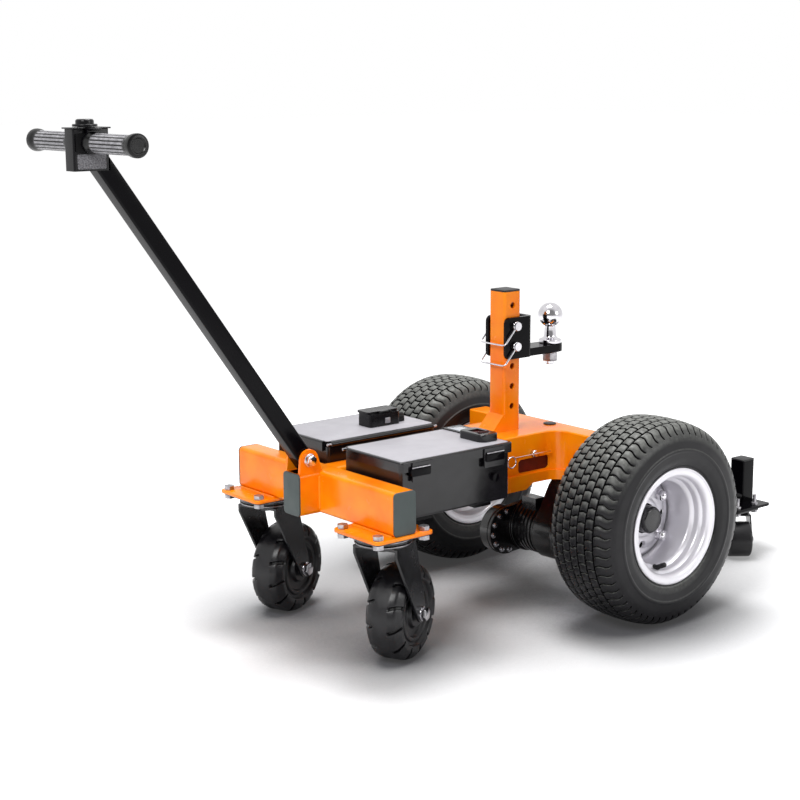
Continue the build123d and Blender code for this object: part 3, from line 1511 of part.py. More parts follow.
with BuildPart() as reduction_housing:
    reduction_places = [(motor_x, motor_height), (reduction_x, reduction_height)]
    with BuildSketch(Plane.XZ):
        with Locations(reduction_places[0]):
            Circle(reduction_web_radius)
        with Locations(reduction_places[1]):
            Circle(reduction_radius)
        make_hull()
    extrude(amount=-reduction_plate)
    with BuildSketch(Plane.XZ):
        with Locations(reduction_places[1]):
            Circle(reduction_radius)
    extrude(amount=-reduction_plate - reduction_length)
    fillet(reduction_housing.faces().sort_by(Axis.Y)[-1].edges(), head_corner)
    with BuildSketch(Plane.XZ):
        with Locations(reduction_places[1]):
            Circle(reduction_radius - case_wall)
    extrude(amount=-reduction_plate - reduction_length + case_wall, mode=Mode.SUBTRACT)
    with BuildSketch(Plane.XZ):
        with Locations(reduction_places[1]):
            Circle(reduction_radius)
    extrude(amount=-case_wall)
    with BuildSketch(Plane.XZ.offset(-reduction_plate - reduction_length)):
        with Locations(reduction_places[1]):
            with PolarLocations(reduction_bolt_circle - reduction_bolt_radius, reduction_bolts):
                Circle(reduction_bolt_radius)
    extrude(amount=-reduction_bolt_head)
publish(reduction_housing, "reduction_housing")

# Battery boxes, open at the top, with hinge ears on the spine side and catches outside
clip_places = [box_front_x + clip_from_ends, box_rear_x - clip_from_ends]
ear_starts = (box_front_x, box_rear_x - hinge_ear)
for side_name, side in sides.items():
    with BuildPart() as battery_box:
        with BuildSketch(Plane.XY.offset(box_bottom)):
            with Locations((box_mid_x, side * box_mid_y)):
                RectangleRounded(box_length, box_width, box_corner)
        extrude(amount=box_height)
        fillet(battery_box.faces().sort_by(Axis.Z)[0].edges(), box_wall / 2)
        with BuildSketch(Plane.XY.offset(box_bottom + box_wall)):
            with Locations((box_mid_x, side * box_mid_y)):
                inner_corner_radius = box_corner - box_wall
                RectangleRounded(box_length - 2 * box_wall, box_width - 2 * box_wall, inner_corner_radius)
        extrude(amount=box_height, mode=Mode.SUBTRACT)
        for start in ear_starts:
            with BuildSketch(Plane.YZ.offset(start)):
                with Locations((side * hinge_y, hinge_z)):
                    Circle(hinge_barrel)
                ear_middle = side * (box_inner_y + hinge_ear_foot / 2)
                with Locations((ear_middle, box_top)):
                    Rectangle(hinge_ear_foot, hinge_ear_foot, align=(Align.CENTER, Align.MAX))
                make_hull()
                with Locations((side * hinge_y, hinge_z)):
                    Circle(hinge_pin_radius, mode=Mode.SUBTRACT)
            extrude(amount=hinge_ear)
        for x in clip_places:
            with Locations((x, side * box_outer_y, box_top - clip_drop + hinge_barrel)):
                Box(clip_width / 2, 2 * clip_catch, clip_catch)
        if side_name == "near":
            with BuildSketch(Plane.XZ.offset(box_outer_y)):
                with Locations((box_rear_x - port_from_rear, port_height)):
                    Circle(port_radius)
            extrude(amount=-port_depth, mode=Mode.SUBTRACT)
    publish(battery_box, f"battery_box_{side_name}")

with BuildPart() as lid_hinge_pins:
    for side in sides.values():
        with BuildSketch(Plane.YZ.offset(box_front_x - hinge_pin_show)):
            with Locations((side * hinge_y, hinge_z)):
                Circle(hinge_pin_radius)
        extrude(amount=box_length + 2 * hinge_pin_show)
publish(lid_hinge_pins, "lid_hinge_pins")

# Two batteries in the near box, the motor controller in the far one
with BuildPart() as batteries:
    first_cell = box_mid_x - (cell_length + cell_gap) / 2
    for x in (first_cell, first_cell + cell_length + cell_gap):
        with BuildSketch(Plane.XY.offset(box_bottom + box_wall)):
            with Locations((x, -box_mid_y)):
                RectangleRounded(cell_length, cell_width, cell_edge)
        extrude(amount=cell_height)
        with BuildSketch(Plane.XY.offset(box_bottom + box_wall + cell_height)):
            with Locations((x, -box_mid_y)):
                with GridLocations(cell_length - 4 * cell_terminal, 1, 2, 1):
                    Circle(cell_terminal)
        extrude(amount=cell_terminal)
publish(batteries, "batteries")

with BuildPart() as motor_controller:
    controller_x = box_rear_x - box_wall - controller_inset - controller_length / 2
    with BuildSketch(Plane.XY.offset(box_bottom + box_wall)):
        with Locations((controller_x, box_mid_y)):
            RectangleRounded(controller_length, controller_width, cell_edge)
    extrude(amount=controller_height)
    with BuildSketch(Plane.XY.offset(box_bottom + box_wall + controller_height)):
        with Locations((controller_x, box_mid_y)):
            fin_pitch = (controller_width - fin_width) / (controller_fins - 1)
            with GridLocations(1, fin_pitch, 1, controller_fins):
                Rectangle(controller_length - 2 * cell_edge, fin_width)
    extrude(amount=fin_height)
publish(motor_controller, "motor_controller")

# Lids: a dished plate with a skirt, a hinge barrel and two snap clips
switch_x = axle_x - switch_ahead_of_axle
socket_x = axle_x - socket_ahead_of_axle
lid_front_x = box_front_x - lid_overhang
lid_rear_x = box_rear_x + lid_overhang
lid_length = lid_rear_x - lid_front_x
lid_width = lid_outer_y - hinge_y
barrel_start = box_front_x + hinge_ear + 2 * seat_gap
barrel_length = box_length - 2 * (hinge_ear + 2 * seat_gap)
notch = barrel_start - lid_front_x
rocker_z = lid_top + switch_height - rocker_depth / 2
for side_name, side in sides.items():
    lid_mid_y = side * (hinge_y + lid_outer_y) / 2
    with BuildPart() as lid:
        with BuildSketch(Plane.XY.offset(lid_bottom - lid_skirt)):
            with Locations((box_mid_x, lid_mid_y)):
                RectangleRounded(lid_length, lid_width, box_corner)
        extrude(amount=lid_thickness + lid_skirt)
        fillet(lid.faces().sort_by(Axis.Z)[-1].edges(), lid_edge)
        # Room for the box under the lid, and none of the skirt near the hinge
        with BuildSketch(Plane.XY.offset(lid_bottom - lid_skirt)):
            with Locations((box_mid_x, side * (box_outer_y + lid_skirt_gap))):
                slack = 2 * lid_skirt_gap
                Rectangle(
                    box_length + slack, box_width + box_corner, align=(Align.CENTER, inward_align[side])
                )
            with Locations((box_mid_x, side * hinge_y)):
                Rectangle(2 * lid_length, 2 * skirt_clear_of_hinge)
        extrude(amount=lid_skirt, mode=Mode.SUBTRACT)
        with BuildSketch(Plane.XY.offset(lid_bottom)):
            with Locations((box_mid_x, lid_mid_y + side * lid_rim / 2)):
                RectangleRounded(lid_length - 4 * lid_rim, lid_width - 3 * lid_rim, box_corner)
        extrude(amount=lid_thickness - lid_sheet, mode=Mode.SUBTRACT)
        # Corners cut back round the ears of the box
        for x in (lid_front_x, lid_rear_x):
            with Locations((x, side * hinge_y, lid_bottom)):
                Box(2 * notch, 2 * skirt_clear_of_hinge + slack, 4 * lid_thickness, mode=Mode.SUBTRACT)
        with BuildSketch(Plane.YZ.offset(barrel_start)):
            with Locations((side * hinge_y, hinge_z)):
                Circle(hinge_barrel)
        extrude(amount=barrel_length)
        with BuildSketch(Plane.YZ.offset(barrel_start)):
            with Locations((side * hinge_y, hinge_z)):
                Circle(hinge_pin_radius + running_gap)
        extrude(amount=barrel_length, mode=Mode.SUBTRACT)
        clip_start = lid_outer_y if side < 0 else -lid_outer_y - clip_plate
        for x in clip_places:
            with BuildSketch(Plane.XZ.offset(clip_start)):
                with Locations((x, lid_bottom + clip_rise)):
                    RectangleRounded(
                        clip_width, clip_drop + clip_rise, clip_plate, align=(Align.CENTER, Align.MAX)
                    )
            extrude(amount=clip_plate)
        if side_name == "near":
            # Raised housing of the power rocker, with the well and pivot holes of the rocker
            with BuildSketch(Plane.XY.offset(lid_top - lid_sheet)):
                with Locations((switch_x, side * switch_from_middle)):
                    RectangleRounded(switch_length, switch_width, switch_corner)
            extrude(amount=switch_height + lid_sheet)
            fillet(lid.faces().sort_by(Axis.Z)[-1].edges(), lid_edge)
            with BuildSketch(Plane.XY.offset(lid_top + switch_height)):
                with Locations((switch_x, side * switch_from_middle)):
                    Rectangle(rocker_length + 2 * rocker_gap, rocker_width + 2 * rocker_gap)
            extrude(amount=-switch_height + lid_sheet, mode=Mode.SUBTRACT)
            with BuildSketch(Plane.YZ.offset(switch_x - rocker_pin_reach - rocker_gap)):
                with Locations((side * switch_from_middle, rocker_z)):
                    Circle(rocker_pin_radius + running_gap)
            extrude(amount=2 * (rocker_pin_reach + rocker_gap), mode=Mode.SUBTRACT)
        else:
            # Hole for the stem of the charging socket
            with BuildSketch(Plane.XY.offset(lid_top)):
                with Locations((socket_x, side * socket_from_middle)):
                    Circle(socket_bore + bolt_clearance)
            extrude(amount=-lid_thickness, mode=Mode.SUBTRACT)
    publish(lid, f"lid_{side_name}")

with BuildPart() as display_panel:
    display_place = (axle_x - display_ahead_of_axle, -display_from_middle)
    with BuildSketch(Plane.XY.offset(lid_top)):
        with Locations(display_place):
            RectangleRounded(display_length, display_width, lid_edge)
    extrude(amount=display_height)
    with BuildSketch(Plane.XY.offset(lid_top + display_height)):
        with Locations(display_place):
            Rectangle(display_window, display_window_width)
    extrude(amount=-display_sink, mode=Mode.SUBTRACT)
publish(display_panel, "display_panel")

# The rocker rests tipped towards the spine; its pins run in the housing
with BuildPart() as power_rocker:
    rocker_centre = Vector(switch_x, -switch_from_middle, rocker_z)
    tipped = Plane(
        origin=rocker_centre,
        x_dir=(0, cos(radians(rocker_tilt)), -sin(radians(rocker_tilt))),
        z_dir=(1, 0, 0),
    )
    with BuildSketch(tipped.offset(-rocker_length / 2)):
        with BuildLine():
            half_rocker = rocker_width / 2 - rocker_gap
            Polyline(
                (half_rocker, rocker_depth / 2),
                (half_rocker, 0),
                (rocker_keel, -rocker_depth / 2),
                (-rocker_keel, -rocker_depth / 2),
                (-half_rocker, 0),
                (-half_rocker, rocker_depth / 2),
            )
            ThreePointArc(
                (half_rocker, rocker_depth / 2),
                (0, rocker_depth / 2 - rocker_hollow),
                (-half_rocker, rocker_depth / 2),
            )
        make_face()
    extrude(amount=rocker_length)
    with BuildSketch(Plane.YZ.offset(switch_x - rocker_pin_reach)):
        with Locations((rocker_centre.Y, rocker_z)):
            Circle(rocker_pin_radius)
    extrude(amount=2 * rocker_pin_reach)
publish(power_rocker, "power_rocker")

# Charging socket on the far lid, with a cap that flips on a pin
cap_hinge_y = socket_from_middle - socket_width / 2 + cap_ear_radius
cap_hinge_z = lid_top + socket_height + seat_gap + cap_thickness / 2
with BuildPart() as charge_socket:
    with BuildSketch(Plane.XY.offset(lid_top)):
        with Locations((socket_x, socket_from_middle)):
            RectangleRounded(socket_length, socket_width, socket_corner)
    extrude(amount=socket_height)
    with BuildSketch(Plane.YZ.offset(socket_x + socket_length / 2 - socket_corner)):
        with Locations((socket_from_middle, lid_top + socket_snout_radius)):
            Circle(socket_snout_radius)
            Rectangle(2 * socket_snout_radius, socket_snout_radius, align=(Align.CENTER, Align.MAX))
    extrude(amount=socket_snout_length + socket_corner)
    fillet(charge_socket.faces().sort_by(Axis.X)[-1].edges().sort_by(Axis.Z)[1:], lid_edge)
    with BuildSketch(Plane.XY.offset(lid_top + socket_height)):
        with Locations((socket_x, socket_from_middle)):
            Circle(socket_bore)
    extrude(amount=-socket_bore_depth, mode=Mode.SUBTRACT)
    with BuildSketch(Plane.XY.offset(lid_top)):
        with Locations((socket_x, socket_from_middle)):
            Circle(socket_bore)
    extrude(amount=-lid_thickness)
    # Two ears that carry the cap's pin
    for x in (socket_x - cap_knuckle_width / 2 - cap_ear, socket_x + cap_knuckle_width / 2):
        with BuildSketch(Plane.YZ.offset(x)):
            with Locations((cap_hinge_y, cap_hinge_z)):
                Circle(cap_ear_radius)
                Rectangle(2 * cap_ear_radius, 2 * cap_knuckle, align=(Align.CENTER, Align.MAX))
        extrude(amount=cap_ear)
    with BuildSketch(Plane.YZ.offset(socket_x - (cap_knuckle_width + cap_ear) / 2)):
        with Locations((cap_hinge_y, cap_hinge_z)):
            Circle(cap_pin_radius)
    extrude(amount=cap_knuckle_width + cap_ear)
publish(charge_socket, "charge_socket")

with BuildPart() as socket_cap:
    cap_bottom = lid_top + socket_height + seat_gap
    cap_start_y = cap_hinge_y + cap_knuckle
    cap_end_y = cap_hinge_y + cap_width
    with BuildSketch(Plane.XY.offset(cap_bottom)):
        with Locations((socket_x, (cap_start_y + cap_end_y) / 2)):
            RectangleRounded(cap_length, cap_end_y - cap_start_y, socket_corner)
    extrude(amount=cap_thickness)
    with BuildSketch(Plane.YZ.offset(socket_x - cap_knuckle_width / 2 + seat_gap)):
        with Locations((cap_hinge_y, cap_hinge_z)):
            Circle(cap_thickness / 2)
            Rectangle(2 * cap_knuckle, cap_thickness, align=(Align.MIN, Align.CENTER))
    extrude(amount=cap_knuckle_width - 2 * seat_gap)
    with BuildSketch(Plane.YZ.offset(socket_x - cap_knuckle_width / 2)):
        with Locations((cap_hinge_y, cap_hinge_z)):
            Circle(cap_pin_radius + running_gap / 2)
    extrude(amount=cap_knuckle_width, mode=Mode.SUBTRACT)
publish(socket_cap, "socket_cap")
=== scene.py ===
import logging
import math
from dataclasses import dataclass, field
from enum import Enum

import bmesh
import bpy
import numpy as np
from mathutils import Matrix, Vector

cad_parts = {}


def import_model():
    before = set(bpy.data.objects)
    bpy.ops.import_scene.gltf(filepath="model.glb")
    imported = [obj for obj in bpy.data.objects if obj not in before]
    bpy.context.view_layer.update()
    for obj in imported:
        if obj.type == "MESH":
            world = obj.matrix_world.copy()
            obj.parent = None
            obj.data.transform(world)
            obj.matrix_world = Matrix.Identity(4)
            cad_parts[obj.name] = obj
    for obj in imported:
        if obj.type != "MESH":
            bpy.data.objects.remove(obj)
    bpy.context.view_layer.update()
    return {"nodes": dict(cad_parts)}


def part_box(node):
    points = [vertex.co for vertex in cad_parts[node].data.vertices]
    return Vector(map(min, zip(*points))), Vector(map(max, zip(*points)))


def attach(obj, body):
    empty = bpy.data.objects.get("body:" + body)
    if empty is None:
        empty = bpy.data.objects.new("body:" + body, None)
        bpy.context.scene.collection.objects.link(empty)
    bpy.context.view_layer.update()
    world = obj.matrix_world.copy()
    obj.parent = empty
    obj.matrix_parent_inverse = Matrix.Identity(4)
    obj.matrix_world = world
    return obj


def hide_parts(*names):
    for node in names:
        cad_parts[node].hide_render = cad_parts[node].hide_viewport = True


# The looks of the electric trailer dolly. Sizes are in millimetres in the row frame of the CAD:
# +X points at the tow ball, +Y at the far side, +Z up, and the ground is Z = 0.

LOG = logging.getLogger("trailer_dolly")
MM = 0.001
FULL_TURN = 2.0 * math.pi
SHARP_TURN = math.radians(38.0)      # a rim that turns more than this stays a sharp line
SKEW = np.array([0.31, 0.53, 0.79])  # a direction that no weld runs along
DUST_AND_HIGHLIGHT_SPECK = 7.0                     # millimetres from one speck of dust and painted highlight to the next
RUB_SHARE = 0.35                     # size of a rubbed patch as a share of a patch of colour
WELD_DIST = 0.01                     # points of a CAD mesh closer than this are one point
FLAT_TURN = math.radians(0.5)        # triangles that turn less than this are one flat face
QUARTERS = np.arange(4) * math.pi / 2.0
WHITE = (1.0, 1.0, 1.0, 1.0)
# How deep a cross groove is at the eight points of one pitch: floor, steep wall, flat block, wall.
GROOVE = np.array([1.0, 1.0, 0.12, 0.0, 0.0, 0.0, 0.12, 1.0])


class Side(Enum):
    """The two sides of the dolly; the value is the sign of Y."""

    NEAR = -1
    FAR = 1

    @property
    def word(self) -> str:
        """The side's word in node and body names."""
        return self.name.lower()


class Grain(Enum):
    """How a surface was made, which decides its fine relief."""

    PEEL = "sprayed powder that flowed into a soft orange peel"
    MOULDED = "plastic that took the spark-eroded texture of its mould"
    CAST = "metal that took the sand of its mould"
    ROLLED = "sheet with lengthwise rolling marks"
    PLATED = "plated metal with faint polishing marks"
    RUBBER = "vulcanised rubber with fine pores"


# Surfaces


@dataclass(frozen=True)
class Patch:
    """A closed skin: points in millimetres, four- and three-cornered faces, one tone a point."""

    points: np.ndarray
    quads: np.ndarray
    tris: np.ndarray
    tone: np.ndarray

    def outward(self) -> "Patch":
        """Turns the faces over if the skin's signed volume is negative.

        The volume is the sum over triangles of a . (b x c) / 6, positive when faces look out.

        Returns:
            The same skin with every face pointing out.
        """
        halves = [self.tris, self.quads[:, [0, 1, 2]], self.quads[:, [0, 2, 3]]]
        corners = self.points[np.vstack([h.reshape(-1, 3) for h in halves])]
        volume = np.einsum("ij,ij->i", corners[:, 0], np.cross(corners[:, 1], corners[:, 2])).sum()
        if volume >= 0.0:
            return self
        return Patch(self.points, self.quads[:, ::-1], self.tris[:, ::-1], self.tone)


def unit(vectors: np.ndarray) -> np.ndarray:
    """Vectors over their own lengths, along the last axis."""
    return vectors / np.linalg.norm(vectors, axis=-1, keepdims=True)


def polar(radius: np.ndarray, angle: np.ndarray) -> np.ndarray:
    """Flat points at radius and angle, (..., 2)."""
    return np.stack([radius * np.cos(angle), radius * np.sin(angle)], -1)


def ramp(value: np.ndarray, start: float, end: float) -> np.ndarray:
    """How far value has come from start to end, held between 0 and 1."""
    return np.clip((value - start) / (end - start), 0.0, 1.0)


def soft_step(value: np.ndarray, middle: float | np.ndarray, steepness: float) -> np.ndarray:
    """The step 1 / (1 + exp(steepness (value - middle))): it falls from 1 to 0, or rises if steepness < 0."""
    return 1.0 / (1.0 + np.exp(np.clip((value - middle) * steepness, -30.0, 30.0)))


def mirrored(half: np.ndarray) -> np.ndarray:
    """A profile of (height, radius) rows and its mirror image below height 0, as one line."""
    return np.vstack([half, (half * np.array([-1.0, 1.0]))[::-1][1:]])


def pitched(samples: np.ndarray, pitches: int) -> np.ndarray:
    """Angles round a wheel of the samples of every pitch, which are given as shares of a pitch."""
    return ((np.arange(pitches)[:, None] + samples[None]) * FULL_TURN / pitches).reshape(-1)


def from_quarters(radius: np.ndarray, angle: np.ndarray, circle: float) -> np.ndarray:
    """Distances to the nearest of four spots a quarter turn apart on a circle, the first at angle 0."""
    left = np.mod(angle + math.pi / 4.0, math.pi / 2.0) - math.pi / 4.0
    return np.hypot(left * radius, radius - circle)


@dataclass(frozen=True)
class Place:
    """A local frame: origin and three unit directions; the third is the way a prism grows."""

    origin: tuple[float, float, float]
    across: tuple[float, float, float] = (1.0, 0.0, 0.0)
    upward: tuple[float, float, float] = (0.0, 1.0, 0.0)
    outward: tuple[float, float, float] = (0.0, 0.0, 1.0)

    def at(self, flat: np.ndarray, height: np.ndarray | float) -> np.ndarray:
        """Points of a flat outline lifted by height, in the row frame.

        Args:
            flat: (..., 2) points on the place's first two directions.
            height: how far along the third direction, a number or one a point.

        Returns:
            (..., 3) points: origin + x across + y upward + height outward.
        """
        lift = np.asarray(height, float)[..., None] * np.array(self.outward)
        base = flat[..., :1] * np.array(self.across) + flat[..., 1:2] * np.array(self.upward)
        return np.array(self.origin) + base + lift

    def lifted(self, height: float) -> "Place":
        """The same place moved along its third direction."""
        moved = np.array(self.origin) + height * np.array(self.outward)
        return Place(tuple(moved), self.across, self.upward, self.outward)


def side_place(x: float, y: float, z: float, outward: float) -> Place:
    """A place whose outline lies in the X-Z plane and grows along +Y or -Y by outward's sign."""
    return Place((x, y, z), (1.0, 0.0, 0.0), (0.0, 0.0, 1.0), (0.0, math.copysign(1.0, outward), 0.0))


def front_place(x: float, y: float, z: float, outward: float) -> Place:
    """A place whose outline lies in the Y-Z plane and grows along +X or -X by outward's sign."""
    return Place((x, y, z), (0.0, 1.0, 0.0), (0.0, 0.0, 1.0), (math.copysign(1.0, outward), 0.0, 0.0))


def up_place(x: float, y: float, z: float) -> Place:
    """A place that grows upward from a point."""
    return Place((x, y, z))


def down_place(x: float, y: float, z: float) -> Place:
    """A place that grows downward from a point."""
    return Place((x, y, z), (1.0, 0.0, 0.0), (0.0, -1.0, 0.0), (0.0, 0.0, -1.0))


def rounded(points: np.ndarray, radii: np.ndarray | float, steps: int = 5,
            closed: bool = True) -> np.ndarray:
    """A line of straight runs whose corners become true arcs.

    Each corner P between unit directions d0 and d1 turns by phi. The arc starts t = r tan(phi/2)
    before P and ends t after it, and is the rational curve
    ((1-s)^2 A + 2 w s (1-s) P + s^2 B) / ((1-s)^2 + 2 w s (1-s) + s^2) with w = cos(phi/2).

    Args:
        points: (n, 2) or (n, 3) corners.
        radii: one radius, or one a corner.
        steps: how many short runs an arc gets.
        closed: whether the last corner joins the first.

    Returns:
        (m, 2) or (m, 3) points of the rounded line.
    """
    points = np.asarray(points, float)
    before = np.roll(points, 1, axis=0)
    after = np.roll(points, -1, axis=0)
    if not closed:
        before, after, middle = points[:-2], points[2:], points[1:-1]
    else:
        middle = points
    size = np.broadcast_to(np.asarray(radii, float), (len(points),))
    size = size if closed else size[1:-1]
    into, away = middle - before, after - middle
    long_in = np.linalg.norm(into, axis=1)
    long_out = np.linalg.norm(away, axis=1)
    into, away = into / long_in[:, None], away / long_out[:, None]
    turn = np.arccos(np.clip((into * away).sum(1), -1.0, 1.0))
    tangent = np.minimum(size * np.tan(turn / 2.0), 0.49 * np.minimum(long_in, long_out))
    start = middle - into * tangent[:, None]
    end = middle + away * tangent[:, None]
    s = np.linspace(0.0, 1.0, steps + 1)[None, :, None]
    weight = np.cos(turn / 2.0)[:, None, None]
    mixed = 2 * weight * s * (1 - s)
    line = (1 - s) ** 2 * start[:, None] + mixed * middle[:, None] + s**2 * end[:, None]
    arcs = (line / ((1 - s) ** 2 + mixed + s**2)).reshape(-1, points.shape[1])
    return arcs if closed else np.vstack([points[:1], arcs, points[-1:]])


def box_outline(width: float, height: float, corner: float, steps: int = 5) -> np.ndarray:
    """A rectangle about the origin with round corners, (n, 2)."""
    half = np.array([width, height]) / 2.0
    return rounded(half * np.array([[1, 1], [-1, 1], [-1, -1], [1, -1]]), corner, steps)


def round_outline(radius: float, count: int = 48) -> np.ndarray:
    """A circle about the origin, (count, 2)."""
    return polar(radius, np.arange(count) * FULL_TURN / count)


def sided_outline(flats: float, sides: int, corner: float, turn: float = 0.0) -> np.ndarray:
    """A regular nut outline with round corners, whose own corners are flats / 2 / cos(pi / sides) away.

    Args:
        flats: distance between opposite sides.
        sides: how many sides it has.
        corner: radius of the corners.
        turn: angle of its first corner.

    Returns:
        (n, 2) points.
    """
    angle = np.arange(sides) * FULL_TURN / sides + turn
    reach = flats / 2.0 / math.cos(math.pi / sides)
    return rounded(polar(reach, angle), corner, 3)


def loft(rings: np.ndarray, wrap: bool = False, tone: np.ndarray | None = None) -> Patch:
    """A skin through rings of points: cell (i, j) joins ring i to ring i + 1.

    Args:
        rings: (n, m, 3) points; every ring is closed.
        wrap: whether the last ring joins the first, as on a tube bent into a hoop. Where it
            doesn't, each end gets a fan to the ring's mean, so that the skin is closed.
        tone: (n, m) numbers from 0 to 1 that a finish can read.

    Returns:
        The closed skin, facing out.
    """
    count, around = rings.shape[:2]
    index = np.arange(count * around).reshape(count, around)
    rows = np.vstack([index, index[:1]]) if wrap else index
    low, high = rows[:-1], rows[1:]
    quads = np.stack([low, np.roll(low, -1, 1), np.roll(high, -1, 1), high], -1).reshape(-1, 4)
    points = rings.reshape(-1, 3)
    shades = np.ones(len(points)) if tone is None else np.asarray(tone, float).reshape(-1)
    tris = np.zeros((0, 3), int)
    if not wrap:
        first, last = index[0], index[-1]
        hub = np.full(around, len(points))
        points = np.vstack([points, rings[0].mean(0), rings[-1].mean(0)])
        shades = np.append(shades, [shades[0], shades[len(shades) - 1]])
        tris = np.vstack([
            np.stack([hub, np.roll(first, -1), first], 1),
            np.stack([hub + 1, last, np.roll(last, -1)], 1),
        ])
    return Patch(points, quads, tris, shades).outward()


def inset(outline: np.ndarray, amount: np.ndarray) -> np.ndarray:
    """Copies of a closed outline drawn in along its own normal, which is its tangent turned by 90 degrees.

    Args:
        outline: (n, 2) closed outline.
        amount: (k,) how far each copy is drawn in.

    Returns:
        (k, n, 2) points.
    """
    ahead = np.roll(outline, -1, 0)
    tangent = ahead - np.roll(outline, 1, 0)
    tangent = tangent / np.maximum(np.linalg.norm(tangent, axis=1), 1e-9)[:, None]
    turning = np.sign((outline[:, 0] * ahead[:, 1] - ahead[:, 0] * outline[:, 1]).sum())
    normal = turning * np.stack([tangent[:, 1], -tangent[:, 0]], 1)
    return outline[None] - np.asarray(amount, float)[:, None, None] * normal[None]


def prism(outline: np.ndarray, place: Place, low: float, high: float, edge: float = 1.0,
          steps: int = 3) -> Patch:
    """An outline carried from low to high, with both rims rounded by edge.

    At angle a of a rim the outline is drawn in by edge (1 - cos a) and lifted by edge sin a.

    Args:
        outline: (n, 2) closed outline.
        place: where it stands and which way it grows.
        low: first height.
        high: last height.
        edge: radius of the two rims.
        steps: runs in each rim's quarter circle.

    Returns:
        The closed skin.
    """
    angle = np.linspace(math.pi / 2.0, 0.0, steps + 1)
    drawn = edge * (1.0 - np.cos(angle))
    lifted = edge * (1.0 - np.sin(angle))
    amount = np.concatenate([drawn, drawn[::-1]])
    height = np.concatenate([low + lifted, high - lifted[::-1]])
    flat = inset(outline, amount)
    return loft(place.at(flat, np.repeat(height[:, None], len(outline), 1)))


def revolve(profile: np.ndarray, place: Place, count: int = 64, wrap: bool = False) -> Patch:
    """A profile of (height, radius) rows turned about the place's third direction."""
    flat = polar(profile[:, 1:2], np.arange(count)[None] * FULL_TURN / count)
    return loft(place.at(flat, np.repeat(profile[:, :1], count, 1)), wrap)


def hoop(place: Place, ring: float, wire: float, count: int = 64, around: int = 12) -> Patch:
    """A ring of round wire: the wire's circle turned about the place's third direction.

    Args:
        place: the ring's middle.
        ring: radius of the ring.
        wire: radius of the wire.
        count: points round the ring.
        around: points round the wire.

    Returns:
        Its closed skin.
    """
    angle = np.arange(around) * FULL_TURN / around
    profile = np.stack([wire * np.sin(angle), ring + wire * np.cos(angle)], 1)
    return revolve(profile, place, count, wrap=True)


def weld_bead(path: np.ndarray, radius: float = 3.2, pitch: float = 4.5) -> Patch:
    """A fillet weld: a bead along a run, its radius rippled by the torch's steps.

    The radius at arc length s is radius (1 + 0.16 |sin(pi s / pitch)|), drawn to nothing at the ends.

    Args:
        path: (n, 3) corners of the run.
        radius: the bead's mean radius.
        pitch: length of one torch step.

    Returns:
        The closed bead.
    """
    runs = np.linalg.norm(np.diff(path, axis=0), axis=1)
    total = np.concatenate([[0.0], np.cumsum(runs)])
    count = max(int(total[-1] / (pitch / 6.0)), 12)
    s = np.linspace(0.0, total[-1], count)
    line = np.stack([np.interp(s, total, path[:, k]) for k in range(3)], 1)
    swell = radius * (1.0 + 0.16 * np.abs(np.sin(math.pi * s / pitch)))
    swell = swell * np.sqrt(np.clip(np.minimum(s, total[-1] - s) / radius, 0.02, 1.0))
    tangent = unit(np.gradient(line, axis=0))
    first = unit(np.cross(SKEW, tangent))
    second = np.cross(tangent, first)
    circle = round_outline(1.0, 10)
    rings = line[:, None] + swell[:, None, None] * (
        circle[None, :, :1] * first[:, None] + circle[None, :, 1:2] * second[:, None])
    return loft(rings)


# Finishes


def linear(hexa: str) -> tuple[float, float, float, float]:
    """The linear colour of an sRGB value, by the standard's two branches.

    Args:
        hexa: a value such as '#F58220'.

    Returns:
        Red, green, blue and an alpha of 1.
    """
    parts = np.array([int(hexa[k:k + 2], 16) for k in (1, 3, 5)]) / 255.0
    low, high = parts / 12.92, ((parts + 0.055) / 1.055) ** 2.4
    red, green, blue = np.where(parts <= 0.04045, low, high)
    return float(red), float(green), float(blue), 1.0


def per_metre(size: float) -> float:
    """The scale that gives a pattern features of a size in millimetres on Object coordinates."""
    return 1.0 / (size * MM)


def add_node(tree: bpy.types.NodeTree, kind: str, values: dict | None = None, links: dict | None = None,
             **settings: object) -> bpy.types.Node:
    """Adds one node to a tree.

    Args:
        tree: the material's tree.
        kind: the node's type name.
        values: input names or numbers and their constants.
        links: input names or numbers and the sockets that feed them.
        settings: the node's own properties.

    Returns:
        The new node.
    """
    made = tree.nodes.new(kind)
    for key, value in settings.items():
        setattr(made, key, value)
    for key, value in (values or {}).items():
        made.inputs[key].default_value = value
    for key, socket in (links or {}).items():
        tree.links.new(socket, made.inputs[key])
    return made


